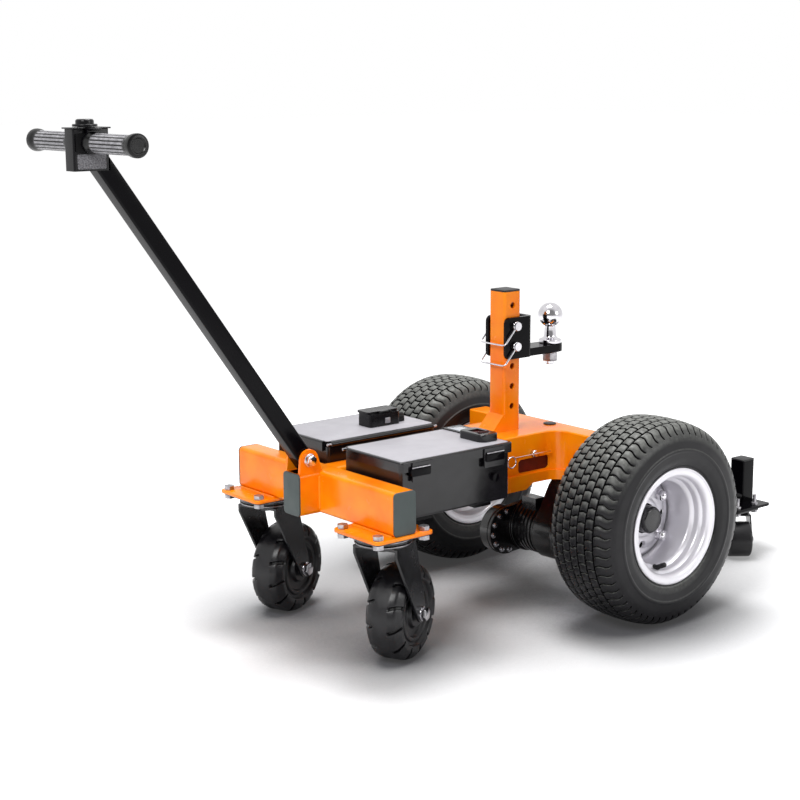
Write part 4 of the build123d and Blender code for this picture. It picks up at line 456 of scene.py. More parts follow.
@dataclass(frozen=True)
class Finish:
    """One finish of the dolly, as a paint shop or a moulder would describe it."""

    name: str
    colour: str
    drift: str                      # the colour that slow variation leans to
    roughness: float
    spread: float                   # how far the roughness wanders from one patch to the next
    grain: Grain
    grain_size: float               # millimetres from one grain to the next
    grain_depth: float              # millimetres
    patch: float = 70.0             # millimetres of one patch of slow variation
    metallic: float = 0.0
    ior: float = 1.5
    coat: float = 0.0
    coat_roughness: float = 0.12
    dust_and_highlight: str = ""               # pale dust and a painted highlight on faces that look up
    dust_and_highlight_share: float = 0.0
    painted_shade_colour: str = ""              # painted shade: the colour where the piece's own tone is 0, as in a groove
    stretch: tuple[float, float, float] = (1.0, 1.0, 1.0)

    def colour_socket(self, tree: bpy.types.NodeTree, place: bpy.types.NodeSocket) -> bpy.types.NodeSocket:
        """Slow variation between the two colours, then pale dust with a painted highlight on faces that look
        up, then painted shade where the piece's tone is low.

        Args:
            tree: the material's tree.
            place: the Object coordinates.

        Returns:
            The socket that carries the colour.
        """
        slow = add_node(tree, "ShaderNodeTexNoise",
                        {"Scale": per_metre(self.patch), "Detail": 3.0, "Roughness": 0.55}, {"Vector": place})
        soft = add_node(tree, "ShaderNodeMapRange", {"From Min": 0.35, "From Max": 0.68},
                        {"Value": slow.outputs["Fac"]})
        mixed = add_node(tree, "ShaderNodeMix", {6: linear(self.colour), 7: linear(self.drift)},
                         {0: soft.outputs["Result"]}, data_type="RGBA")
        out = mixed.outputs[2]
        # Pale dust and painted highlight: faces that look up turn pale, broken into specks.
        if self.dust_and_highlight:
            facing = add_node(tree, "ShaderNodeNewGeometry")
            split = add_node(tree, "ShaderNodeSeparateXYZ", links={0: facing.outputs["Normal"]})
            speck = add_node(tree, "ShaderNodeTexNoise", {"Scale": per_metre(DUST_AND_HIGHLIGHT_SPECK), "Detail": 4.0},
                             {"Vector": place})
            lies = add_node(tree, "ShaderNodeMapRange",
                            {"From Min": 0.15, "From Max": 0.95, "To Max": self.dust_and_highlight_share},
                            {"Value": split.outputs[2]})
            amount = add_node(tree, "ShaderNodeMath", operation="MULTIPLY",
                              links={0: lies.outputs["Result"], 1: speck.outputs["Fac"]})
            dust_and_highlight_mix = add_node(tree, "ShaderNodeMix", {7: linear(self.dust_and_highlight)},
                             {0: amount.outputs[0], 6: out}, data_type="RGBA")
            out = dust_and_highlight_mix.outputs[2]
        # Painted shade: where the piece's tone falls towards 0, the colour darkens towards this one.
        if self.painted_shade_colour:
            tone = add_node(tree, "ShaderNodeAttribute", attribute_name="tone", attribute_type="GEOMETRY")
            deep = add_node(tree, "ShaderNodeMix", {6: linear(self.painted_shade_colour)},
                            {0: tone.outputs["Fac"], 7: out}, data_type="RGBA")
            out = deep.outputs[2]
        return out

    def relief_socket(self, tree: bpy.types.NodeTree, place: bpy.types.NodeSocket) -> bpy.types.NodeSocket:
        """The fine relief of the way the surface was made.

        Args:
            tree: the material's tree.
            place: the Object coordinates.

        Returns:
            The bumped normal.
        """
        mapped = add_node(tree, "ShaderNodeMapping", {"Scale": self.stretch}, {"Vector": place})
        scale = per_metre(self.grain_size)
        if self.grain in (Grain.MOULDED, Grain.RUBBER):
            cells = add_node(tree, "ShaderNodeTexVoronoi", {"Scale": scale}, {"Vector": mapped.outputs[0]},
                             feature="SMOOTH_F1")
            height = cells.outputs["Distance"]
        else:
            detail = 1.0 if self.grain is Grain.PEEL else 6.0
            waves = add_node(tree, "ShaderNodeTexNoise", {"Scale": scale, "Detail": detail, "Roughness": 0.6},
                             {"Vector": mapped.outputs[0]})
            height = waves.outputs["Fac"]
        bump = add_node(tree, "ShaderNodeBump", {"Strength": 0.6, "Distance": self.grain_depth * MM},
                        {"Height": height})
        return bump.outputs["Normal"]

    def build(self) -> bpy.types.Material:
        """Builds the finish as a material whose relief and wear come from nodes.

        Returns:
            The material.
        """
        material = bpy.data.materials.new(self.name)
        material.use_nodes = True
        tree = material.node_tree
        tree.nodes.clear()
        place = add_node(tree, "ShaderNodeTexCoord").outputs["Object"]
        rub = add_node(tree, "ShaderNodeTexNoise",
                       {"Scale": per_metre(self.patch * RUB_SHARE), "Detail": 5.0}, {"Vector": place})
        rough = add_node(tree, "ShaderNodeMapRange",
                         {"From Min": 0.3, "From Max": 0.7, "To Min": max(self.roughness - self.spread, 0.02),
                          "To Max": self.roughness + self.spread}, {"Value": rub.outputs["Fac"]})
        shader = add_node(tree, "ShaderNodeBsdfPrincipled",
                          {"Metallic": self.metallic, "IOR": self.ior, "Coat Weight": self.coat,
                           "Coat Roughness": self.coat_roughness},
                          {"Base Color": self.colour_socket(tree, place),
                           "Roughness": rough.outputs["Result"], "Normal": self.relief_socket(tree, place)})
        add_node(tree, "ShaderNodeOutputMaterial", links={"Surface": shader.outputs["BSDF"]})
        return material


# Polyester powder coat over steel: it flows as it bakes, which gives a soft, slightly wavy gloss.
ORANGE_COAT = Finish("powder_coat_orange", "#FF9306", "#FF7803", 0.24, 0.04, Grain.PEEL, 2.2, 0.015,
                     patch=90.0, ior=1.34, coat=0.1, coat_roughness=0.08)
# Inside the frame's nose a dull brown-red sheet stands behind the window as painted shade.
NOSE_SHADE = Finish("painted_shade_dark_red", "#6A1206", "#4E0D06", 0.6, 0.06, Grain.PEEL, 2.2, 0.03, patch=40.0)
# Black powder coat under studio light: very dark, with soft mirror images of white walls.
BLACK_COAT = Finish("powder_coat_black", "#040306", "#070609", 0.14, 0.03, Grain.PEEL, 2.2, 0.02, ior=1.18)
# The boxes are ABS, which leaves its mould with a dark, softly shining face.
BOX_PLASTIC = Finish("abs_moulded_gloss_black", "#0D0C0E", "#17161A", 0.2, 0.05, Grain.MOULDED, 1.1, 0.008,
                     ior=1.45)
# The lids' tops read as pale sheet with a satin shine, which catches the sky from every side.
LID_SHEET = Finish("coated_sheet_pale_grey", "#A9A7AD", "#B2B0B6", 0.45, 0.05, Grain.ROLLED, 0.9, 0.008,
                   ior=1.4, stretch=(1.0, 8.0, 1.0))
# Forks and brackets: semi-gloss black enamel on pressed steel.
FORK_PAINT = Finish("stove_enamel_black", "#161618", "#1D1D20", 0.24, 0.05, Grain.PEEL, 1.8, 0.012)
# Bright chrome over nickel: near mirror, with faint cloudy polishing.
CHROME = Finish("chrome_plate", "#DEDCE0", "#C9C7CC", 0.1, 0.04, Grain.PLATED, 0.8, 0.002, patch=14.0,
                metallic=1.0)
# Zinc with clear passivate: softer and greyer than chrome, with a crystalline drift.
ZINC = Finish("zinc_plate", "#B0AEB1", "#88868B", 0.36, 0.06, Grain.PLATED, 1.2, 0.004, patch=9.0,
              metallic=1.0)
# Polythene end caps, matt and slightly green-grey in the light.
CAP_PLASTIC = Finish("polythene_cap_grey", "#3D4746", "#343D3D", 0.5, 0.06, Grain.MOULDED, 1.3, 0.02)
# The same polythene in black, with less of a shine than the coated tubes.
CAP_BLACK = Finish("polythene_cap_black", "#0D0C0F", "#131215", 0.45, 0.06, Grain.MOULDED, 1.3, 0.02,
                   ior=1.42)
# Cast iron under black enamel: the sand's lumps show through the gloss.
CASTING = Finish("cast_iron_enamelled", "#060507", "#0B0A0D", 0.2, 0.06, Grain.CAST, 3.5, 0.12, coat=0.2)
# Bare iron saddles: matt and slightly green, with coarser lumps.
SADDLE_CASTING = Finish("cast_iron_grey_green", "#5C655E", "#4A524C", 0.5, 0.08, Grain.CAST, 3.0, 0.2)
# Wheel rims: bright silver enamel, thick with aluminium flake; the well beside the disc carries painted
# shade.
RIM_ENAMEL = Finish("silver_enamel", "#E9E7EC", "#E4E2E8", 0.34, 0.02, Grain.PEEL, 1.4, 0.002, metallic=0.45,
                    patch=60.0, painted_shade_colour="#3C3940")
# Tyre rubber: carbon black; faces that look up turn pale with dust and a painted highlight, and the treads
# stand paler than their grooves, which carry painted shade.
TREAD_RUBBER = Finish("tyre_rubber", "#111013", "#18171A", 0.4, 0.06, Grain.RUBBER, 1.6, 0.02, patch=40.0,
                      ior=1.34, dust_and_highlight="#B0B2AC", dust_and_highlight_share=0.7, painted_shade_colour="#030304")
# Solid caster rubber: blacker and smoother than the tyres, and free of dust; its slot floors and two rings on
# its face carry painted shade.
CASTER_RUBBER = Finish("caster_rubber", "#0E0D10", "#151417", 0.36, 0.06, Grain.RUBBER, 1.4, 0.02, patch=25.0,
                       ior=1.45, painted_shade_colour="#020203")
# Grip rubber: the ribs are painted pale grey as a highlight, and the flutes between them and the bell ends
# stay black, the flutes as painted shade.
GRIP_RUBBER = Finish("grip_rubber", "#A09FA3", "#77767A", 0.32, 0.07, Grain.RUBBER, 1.0, 0.03, patch=12.0,
                     ior=1.36, painted_shade_colour="#030304")
# Glass-filled nylon from a fine mould: black with an even, soft shine.
CONTROL_PLASTIC = Finish("nylon_moulded_black", "#060508", "#0B0A0D", 0.26, 0.05, Grain.MOULDED, 0.9, 0.012,
                         ior=1.33)
# A bare grey patch with a coarse spark-eroded grain: no words or marks are drawn on it.
CONTROL_GRAIN = Finish("nylon_coarse_grain_grey", "#77767A", "#2A292D", 0.6, 0.08, Grain.MOULDED, 2.4, 0.3,
                       patch=2.6)
# Red polycarbonate with no lamp behind it, which looks deep and dark.
ROCKER_PLASTIC = Finish("rocker_polycarbonate_red", "#3A0807", "#4C0B09", 0.22, 0.03, Grain.MOULDED, 0.8,
                        0.005, ior=1.45)
# A polished window over a blank display: pale, flat and glossy.
SCREEN_GLASS = Finish("display_window", "#B9BCC4", "#A9ADB6", 0.12, 0.02, Grain.PLATED, 3.0, 0.001, coat=0.5,
                      coat_roughness=0.05)
# Extruded aluminium, satin, with faint lines along its length.
FIN_METAL = Finish("aluminium_extruded", "#A9A8AC", "#97969A", 0.35, 0.06, Grain.ROLLED, 0.7, 0.01,
                   metallic=1.0, stretch=(1.0, 12.0, 1.0))
# Moulded polypropylene, a plain dark satin.
BATTERY_CASE = Finish("battery_polypropylene", "#1D1E22", "#26272C", 0.45, 0.05, Grain.MOULDED, 1.1, 0.02)
# The unlit depth of a hole or a slot: nearly black from every side.
DARK_GAP = Finish("unpainted_shade", "#030304", "#060507", 0.8, 0.05, Grain.RUBBER, 1.5, 0.01, ior=1.3)


class PaintShop:
    """Builds each finish once and hands it out."""

    def __init__(self) -> None:
        """Starts with no material made."""
        self.made: dict[str, bpy.types.Material] = {}

    def coat(self, finish: Finish) -> bpy.types.Material:
        """The material of a finish, built at its first use.

        Args:
            finish: the finish.

        Returns:
            Its material.
        """
        if finish.name not in self.made:
            self.made[finish.name] = finish.build()
        return self.made[finish.name]


@dataclass
class Workshop:
    """Turns skins into Blender pieces that ride on the CAD's bodies."""

    nodes: dict
    paint: PaintShop = field(default_factory=PaintShop)

    def piece(self, name: str, patches: list[Patch], finish: Finish, body: str,
              replaced: tuple[str, ...] = ()) -> bpy.types.Object:
        """One object out of closed skins, in metres, at the origin.

        Args:
            name: the piece's name.
            patches: its closed skins.
            finish: what it is finished in.
            body: the CAD body that carries it.
            replaced: CAD nodes that it stands for.

        Returns:
            The object.
        """
        starts = np.cumsum([0] + [len(p.points) for p in patches])
        points = np.vstack([p.points for p in patches]) * MM
        quads = np.vstack([p.quads + s for p, s in zip(patches, starts)])
        tris = np.vstack([p.tris + s for p, s in zip(patches, starts)])
        corners = np.concatenate([quads.reshape(-1), tris.reshape(-1)]).astype(np.int32)
        begins = np.concatenate([np.arange(len(quads)) * 4, len(quads) * 4 + np.arange(len(tris)) * 3])
        mesh = bpy.data.meshes.new(name)
        mesh.vertices.add(len(points))
        mesh.vertices.foreach_set("co", points.astype(np.float32).reshape(-1))
        mesh.loops.add(len(corners))
        mesh.loops.foreach_set("vertex_index", corners)
        mesh.polygons.add(len(begins))
        mesh.polygons.foreach_set("loop_start", begins.astype(np.int32))
        mesh.polygons.foreach_set("use_smooth", np.ones(len(begins), bool))
        mesh.update(calc_edges=True)
        mesh.validate()
        mesh.set_sharp_from_angle(angle=SHARP_TURN)
        if finish.painted_shade_colour:
            tone = mesh.attributes.new("tone", "FLOAT", "POINT")
            tone.data.foreach_set("value", np.concatenate([p.tone for p in patches]).astype(np.float32))
        return self.placed(bpy.data.objects.new(name, mesh), finish, body, replaced)

    def placed(self, made: bpy.types.Object, finish: Finish, body: str,
               replaced: tuple[str, ...]) -> bpy.types.Object:
        """Links a piece, finishes it and sets it on its body, standing for the named nodes.

        Args:
            made: the object.
            finish: what it is finished in.
            body: the CAD body that carries it.
            replaced: CAD nodes that it stands for.

        Returns:
            The object.
        """
        bpy.context.scene.collection.objects.link(made)
        made.data.materials.clear()
        made.data.materials.append(self.paint.coat(finish))
        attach(made, body)
        if replaced:
            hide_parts(*replaced)
        LOG.info("%s: %d faces on %s", made.name, len(made.data.polygons), body)
        return made

    def softened(self, node: str, name: str, finish: Finish, body: str, slot: str, edge: float,
                 segments: int = 2) -> bpy.types.Object:
        """A copy of a CAD node whose flat faces are whole and whose sharp rims are rounded.

        Args:
            node: the CAD node that is copied and replaced.
            name: the piece's name.
            finish: what it is finished in.
            body: the CAD body that carries it.
            slot: the record's material slot; not used.
            edge: radius of the rims in millimetres, 0 for none.
            segments: runs in each rounded rim.

        Returns:
            The object.
        """
        skin = bmesh.new()
        skin.from_mesh(self.nodes[node].data)
        bmesh.ops.remove_doubles(skin, verts=skin.verts, dist=WELD_DIST * MM)
        bmesh.ops.dissolve_limit(skin, angle_limit=FLAT_TURN, verts=skin.verts, edges=skin.edges)
        mesh = bpy.data.meshes.new(name)
        skin.to_mesh(mesh)
        skin.free()
        if "custom_normal" in mesh.attributes:
            mesh.attributes.remove(mesh.attributes["custom_normal"])
        mesh.polygons.foreach_set("use_smooth", np.ones(len(mesh.polygons), bool))
        mesh.set_sharp_from_angle(angle=SHARP_TURN)
        made = bpy.data.objects.new(name, mesh)
        if edge > 0.0:
            rim = made.modifiers.new("rounded_rims", "BEVEL")
            rim.width = edge * MM
            rim.segments = segments
            rim.limit_method = "ANGLE"
            rim.angle_limit = SHARP_TURN
            rim.harden_normals = True
        return self.placed(made, finish, body, (node,))

    def soften_all(self, rows: tuple[tuple, ...]) -> None:
        """Softens CAD nodes; a row holds the node, name, finish, body, slot and edge."""
        for row in rows:
            self.softened(*row)


# Fasteners


@dataclass(frozen=True)
class Bolt:
    """A bolt's head, washer and nut as they show outside what they clamp."""

    flats: float = 19.0
    head: float = 8.0
    washer: float = 12.0
    washer_thickness: float = 1.6
    shank: float = 6.0

    def hex_end(self, place: Place, turn: float = 0.0, tail: float = 0.0) -> list[Patch]:
        """A washer and a hexagon with round rims, and the end of the thread if it stands out.

        Args:
            place: the face that the washer lies on.
            turn: angle of the hexagon's first corner.
            tail: how far the thread's end stands out of the hexagon.

        Returns:
            Their closed skins.
        """
        top = self.washer_thickness + self.head
        found = [
            prism(round_outline(self.washer, 32), place, 0.0, self.washer_thickness, 0.4, 2),
            prism(sided_outline(self.flats, 6, 0.6, turn), place, self.washer_thickness, top, 1.1, 2),
        ]
        if tail > 0.0:
            found.append(prism(round_outline(self.shank, 24), place, top - 1.0, top + tail, 1.0, 2))
        return found


# Sub-assemblies


@dataclass
class FrontFrame:
    """The front cross beam with its stub, ears and caster plates, and the caps of all the tubes."""

    beam_x: float = -323.4
    beam_depth: float = 50.0
    beam_bottom: float = 263.0
    beam_height: float = 80.0
    half_length: float = 241.0
    corner: float = 8.0
    stub_front: float = -391.4
    cap: float = 4.0
    plate: tuple[float, float, float] = (133.0, 131.0, 6.0)
    plate_x: float = -325.4
    plate_y: float = 184.2
    pivot: tuple[float, float] = (-369.0, 367.0)
    ear_outer: float = 23.2
    stub_overlap: float = 6.0
    weld_radius: float = 2.6
    weld_inset: float = 4.0
    weld_stop: float = 3.0
    post_side: float = 45.0
    post_top: tuple[float, float, float] = (136.6, 0.0, 634.0)
    upright_side: float = 38.0
    upright: tuple[float, float, float] = (796.0, 80.0, 200.0)
    plug: tuple[float, float, float] = (237.0, -29.0, 352.0)

    @property
    def middle_z(self) -> float:
        """Height of the beam's middle."""
        return self.beam_bottom + self.beam_height / 2.0

    def beam(self, shop: Workshop) -> None:
        """The cross beam and its stub: two square tubes with rolled corners, welded.

        Args:
            shop: the workshop that makes the pieces.
        """
        section = box_outline(self.beam_depth, self.beam_height, self.corner)
        half, front = self.beam_depth / 2.0, self.beam_x - self.beam_depth / 2.0
        cross = prism(section, side_place(self.beam_x, 0.0, self.middle_z, 1.0), -self.half_length,
                      self.half_length, 0.4, 1)
        stub = prism(section, front_place(0.0, 0.0, self.middle_z, 1.0), self.stub_front,
                     front + self.stub_overlap, 0.4, 1)
        shop.piece("front_beam_tubes", [cross, stub], ORANGE_COAT, "chassis", ("front_beam",))
        low, high = self.beam_bottom + self.corner, self.beam_bottom + self.beam_height - self.corner
        runs = [np.array([[front, s * half, low], [front, s * half, high]]) for s in (-1, 1)]
        for side in Side:
            inner = side.value * (self.plate_y - self.plate[1] / 2.0 + self.weld_inset)
            outer = side.value * (self.half_length - self.weld_stop)
            runs += [np.array([[x, inner, self.beam_bottom], [x, outer, self.beam_bottom]])
                     for x in (front, front + self.beam_depth)]
        beads = [weld_bead(run, self.weld_radius) for run in runs]
        shop.piece("front_weld_beads", beads, ORANGE_COAT, "chassis")

    def ears(self, shop: Workshop) -> None:
        """The two tiller ears with their rims rounded, and the pivot bolt through them with its nut.

        Args:
            shop: the workshop that makes the pieces.
        """
        shop.softened("tiller_ears", "tiller_pivot_ears", ORANGE_COAT, "chassis", "orange_paint", 0.8)
        bolt = Bolt(flats=19.0, head=7.5, washer=12.5, washer_thickness=2.0, shank=6.0)
        x, z = self.pivot
        found = []
        for side in Side:
            spot = side_place(x, side.value * self.ear_outer, z, side.value)
            found += bolt.hex_end(spot, 0.3, 4.0 if side is Side.FAR else 0.0)
        found.append(prism(round_outline(bolt.shank, 24), side_place(x, 0.0, z, 1.0), -self.ear_outer,
                           self.ear_outer, 0.3, 1))
        shop.piece("tiller_pivot_fastener", found, CHROME, "chassis", ("tiller_pivot_bolt",))

    def caps(self, shop: Workshop) -> None:
        """Plastic caps in the tube ends, each a shallow pillow with a rolled rim.

        Args:
            shop: the workshop that makes the pieces.
        """
        low, high = 0.0, self.cap
        section = box_outline(self.beam_depth, self.beam_height, self.corner)
        grey = [prism(section, side_place(self.beam_x, s.value * self.half_length, self.middle_z, s.value),
                      low, high, 1.6, 4) for s in Side]
        grey.append(prism(section, front_place(self.stub_front, 0.0, self.middle_z, -1.0), low, high, 1.6, 4))
        shop.piece("beam_end_caps", grey, CAP_PLASTIC, "chassis", ("tube_end_caps",))
        post = box_outline(self.post_side, self.post_side, 6.0)
        rear = box_outline(self.upright_side, self.upright_side, 4.0)
        x, y, z = self.upright
        black = [prism(post, up_place(*self.post_top), low, high, 1.4, 4)]
        black += [prism(rear, up_place(x, s.value * y, z), low, high, 1.2, 4) for s in Side]
        black.append(prism(round_outline(13.0, 40), up_place(*self.plug), 0.0, 2.5, 1.0, 3))
        shop.piece("upright_end_caps", black, CAP_BLACK, "chassis")

    def plates(self, shop: Workshop) -> None:
        """The two caster plates that are welded under the beam.

        Args:
            shop: the workshop that makes the piece.
        """
        width, depth, thick = self.plate
        outline = box_outline(width, depth, 12.0, 6)
        bottom = self.beam_bottom - thick
        plates = [prism(outline, up_place(self.plate_x, s.value * self.plate_y, bottom), 0.0, thick, 0.9, 2)
                  for s in Side]
        shop.piece("caster_plate_pair", plates, ORANGE_COAT, "chassis", ("caster_plates",))

    def build(self, shop: Workshop) -> None:
        """Makes the tubes, the ears, the caps and the plates.

        Args:
            shop: the workshop that makes the pieces.
        """
        self.beam(shop)
        self.ears(shop)
        self.caps(shop)
        self.plates(shop)


@dataclass
class SwivelWheel:
    """What the front and rear casters share: a swivel, and a wheel that trails behind it."""

    side: Side
    heading: float
    swivel: tuple[float, float]
    trail: float
    radius: float

    def axle_place(self, out: float = 1.0) -> Place:
        """The wheel's middle: trail behind the swivel along the heading, a radius over the ground.

        Args:
            out: 1 or -1, which way along the axle the third direction looks.

        Returns:
            The place; its first direction looks ahead and its second up.
        """
        turn = math.radians(self.heading)
        ahead = np.array([math.cos(turn), math.sin(turn), 0.0])
        hub = np.array([self.swivel[0], self.side.value * self.swivel[1], self.radius]) + self.trail * ahead
        return Place(tuple(hub), tuple(ahead), (0.0, 0.0, 1.0), (-out * ahead[1], out * ahead[0], 0.0))


@dataclass
class Caster(SwivelWheel):
    """A front swivel caster: pressed fork, solid rubber wheel and axle bolt."""

    swivel: tuple[float, float] = (-325.4, 184.2)
    trail: float = 70.0
    radius: float = 90.0
    width: float = 72.0
    slots: int = 12
    slot_depth: float = 6.5
    slot_length: float = 22.0
    fork_face: float = 44.0

    def wheel_profile(self) -> np.ndarray:
        """Half the wheel's section from the hub face over the shoulder to the crown.

        Returns:
            (n, 2) rows of height and radius, from the face to the wheel's middle.
        """
        half, r = self.width / 2.0, self.radius
        corners = np.array([[half - 2.0, 13.0], [half - 2.0, 26.0], [half - 10.0, 29.0], [half - 10.0, 44.0],
                            [half - 4.0, 47.0], [half - 4.0, 53.0], [half - 7.0, 55.0], [half - 7.0, 60.0],
                            [half - 1.0, 63.0], [half, r - 17.0], [half - 9.0, r - 3.0], [half - 20.0, r],
                            [0.0, r]])
        radii = np.array([0, 2, 3, 3, 1.5, 1.5, 1, 1, 3, 8, 10, 20, 0.0])
        return rounded(corners, radii, 4, closed=False)

    def wheel(self, shop: Workshop) -> None:
        """The solid rubber wheel.

        The section is turned about the axle. Slots are cut into the shoulder: over each slot the
        radius drops by depth times a flat-bottomed wave of the angle, on the two sides by turns.

        Args:
            shop: the workshop that makes the piece.
        """
        whole = mirrored(self.wheel_profile())
        height, radius = whole[:, :1], whole[:, 1:]
        rim, slot_end = self.radius, self.width / 2.0 - self.slot_length
        samples = np.array([0.0, 0.052, 0.085, 0.13, 0.5, 0.87, 0.915, 0.948])
        shine = np.tile(np.array([0.0, 0.1, 0.8, 1.0, 1.0, 1.0, 0.8, 0.1]), self.slots)
        half_pitch = 0.5 * FULL_TURN / self.slots
        turn = np.where(height > 0, 0.0, half_pitch) + 0.004 * height
        inside = ramp(np.abs(height), slot_end, slot_end + 2.0) * ramp(radius, rim - 24.0, rim - 20.0)
        lean = ramp(radius, rim, rim - 20.0)
        cut = inside * np.tile(GROOVE, self.slots) * self.slot_depth
        r = radius - cut * (1.0 - 0.4 * lean)
        h = height - np.sign(height) * cut * 0.75 * lean
        # Painted shade: the slot floors and two rings on the wheel's face get a lower tone.
        shaded = ramp(np.abs(radius - 57.5), 2.5, 0.0) + ramp(np.abs(radius - 36.0), 8.0, 0.0)
        tone = (1.0 - inside * (1.0 - shine)) * (1.0 - 0.55 * np.clip(shaded, 0.0, 1.0))
        flat = polar(r, pitched(samples, self.slots) + turn)
        word = self.side.word
        shop.piece(f"caster_wheel_rubber_{word}", [loft(self.axle_place().at(flat, h), tone=tone)],
                   CASTER_RUBBER, f"{word}_caster_wheel", (f"caster_wheel_{word}",))

    def axle(self, shop: Workshop) -> None:
        """The axle bolt: hexagon head on one side, nut and thread end on the other, washers under both.

        Args:
            shop: the workshop that makes the piece.
        """
        bolt = Bolt(flats=22.0, head=9.0, washer=13.5, washer_thickness=2.0, shank=6.0)
        found = []
        for out, tail in ((-1.0, 0.0), (1.0, 3.0)):
            found += bolt.hex_end(self.axle_place(out).lifted(self.fork_face), 0.2, tail)
        found.append(prism(round_outline(bolt.shank, 24), self.axle_place(), -self.fork_face, self.fork_face,
                           0.3, 1))
        word = self.side.word
        shop.piece(f"caster_axle_bolt_{word}", found, CHROME, f"{word}_caster",
                   (f"caster_axle_{word}",))

    def build(self, shop: Workshop) -> None:
        """Makes the fork, the wheel and the axle bolt.

        Args:
            shop: the workshop that makes the pieces.
        """
        word = self.side.word
        shop.softened(f"caster_fork_{word}", f"caster_fork_pressed_{word}", FORK_PAINT, f"{word}_caster",
                      "matte_black", 1.1)
        self.wheel(shop)
        self.axle(shop)


@dataclass
class RearCaster(SwivelWheel):
    """A small rear swivel caster: pressed fork and rubber roller."""

    swivel: tuple[float, float] = (748.0, 104.0)
    trail: float = 38.0
    radius: float = 39.0
    width: float = 50.0

    def build(self, shop: Workshop) -> None:
        """The roller with its rounded rims and recessed faces, and the pressed fork.

        Args:
            shop: the workshop that makes the pieces.
        """
        half, r = self.width / 2.0, self.radius
        side = rounded(np.array([[half, 4.5], [half, 15.0], [half - 4.0, 16.0], [half - 4.0, 27.0],
                                 [half, 28.5], [half, r], [0.0, r]]),
                       np.array([0, 1, 2, 2, 1, 5, 0.0]), 4, closed=False)
        word = self.side.word
        roller = revolve(mirrored(side), self.axle_place(), 72)
        shop.piece(f"rear_roller_rubber_{word}", [roller], CASTER_RUBBER, f"{word}_roller",
                   (f"rear_roller_{word}",))
        shop.softened(f"rear_fork_{word}", f"rear_fork_pressed_{word}", FORK_PAINT, f"{word}_rear_caster",
                      "matte_black", 0.7)


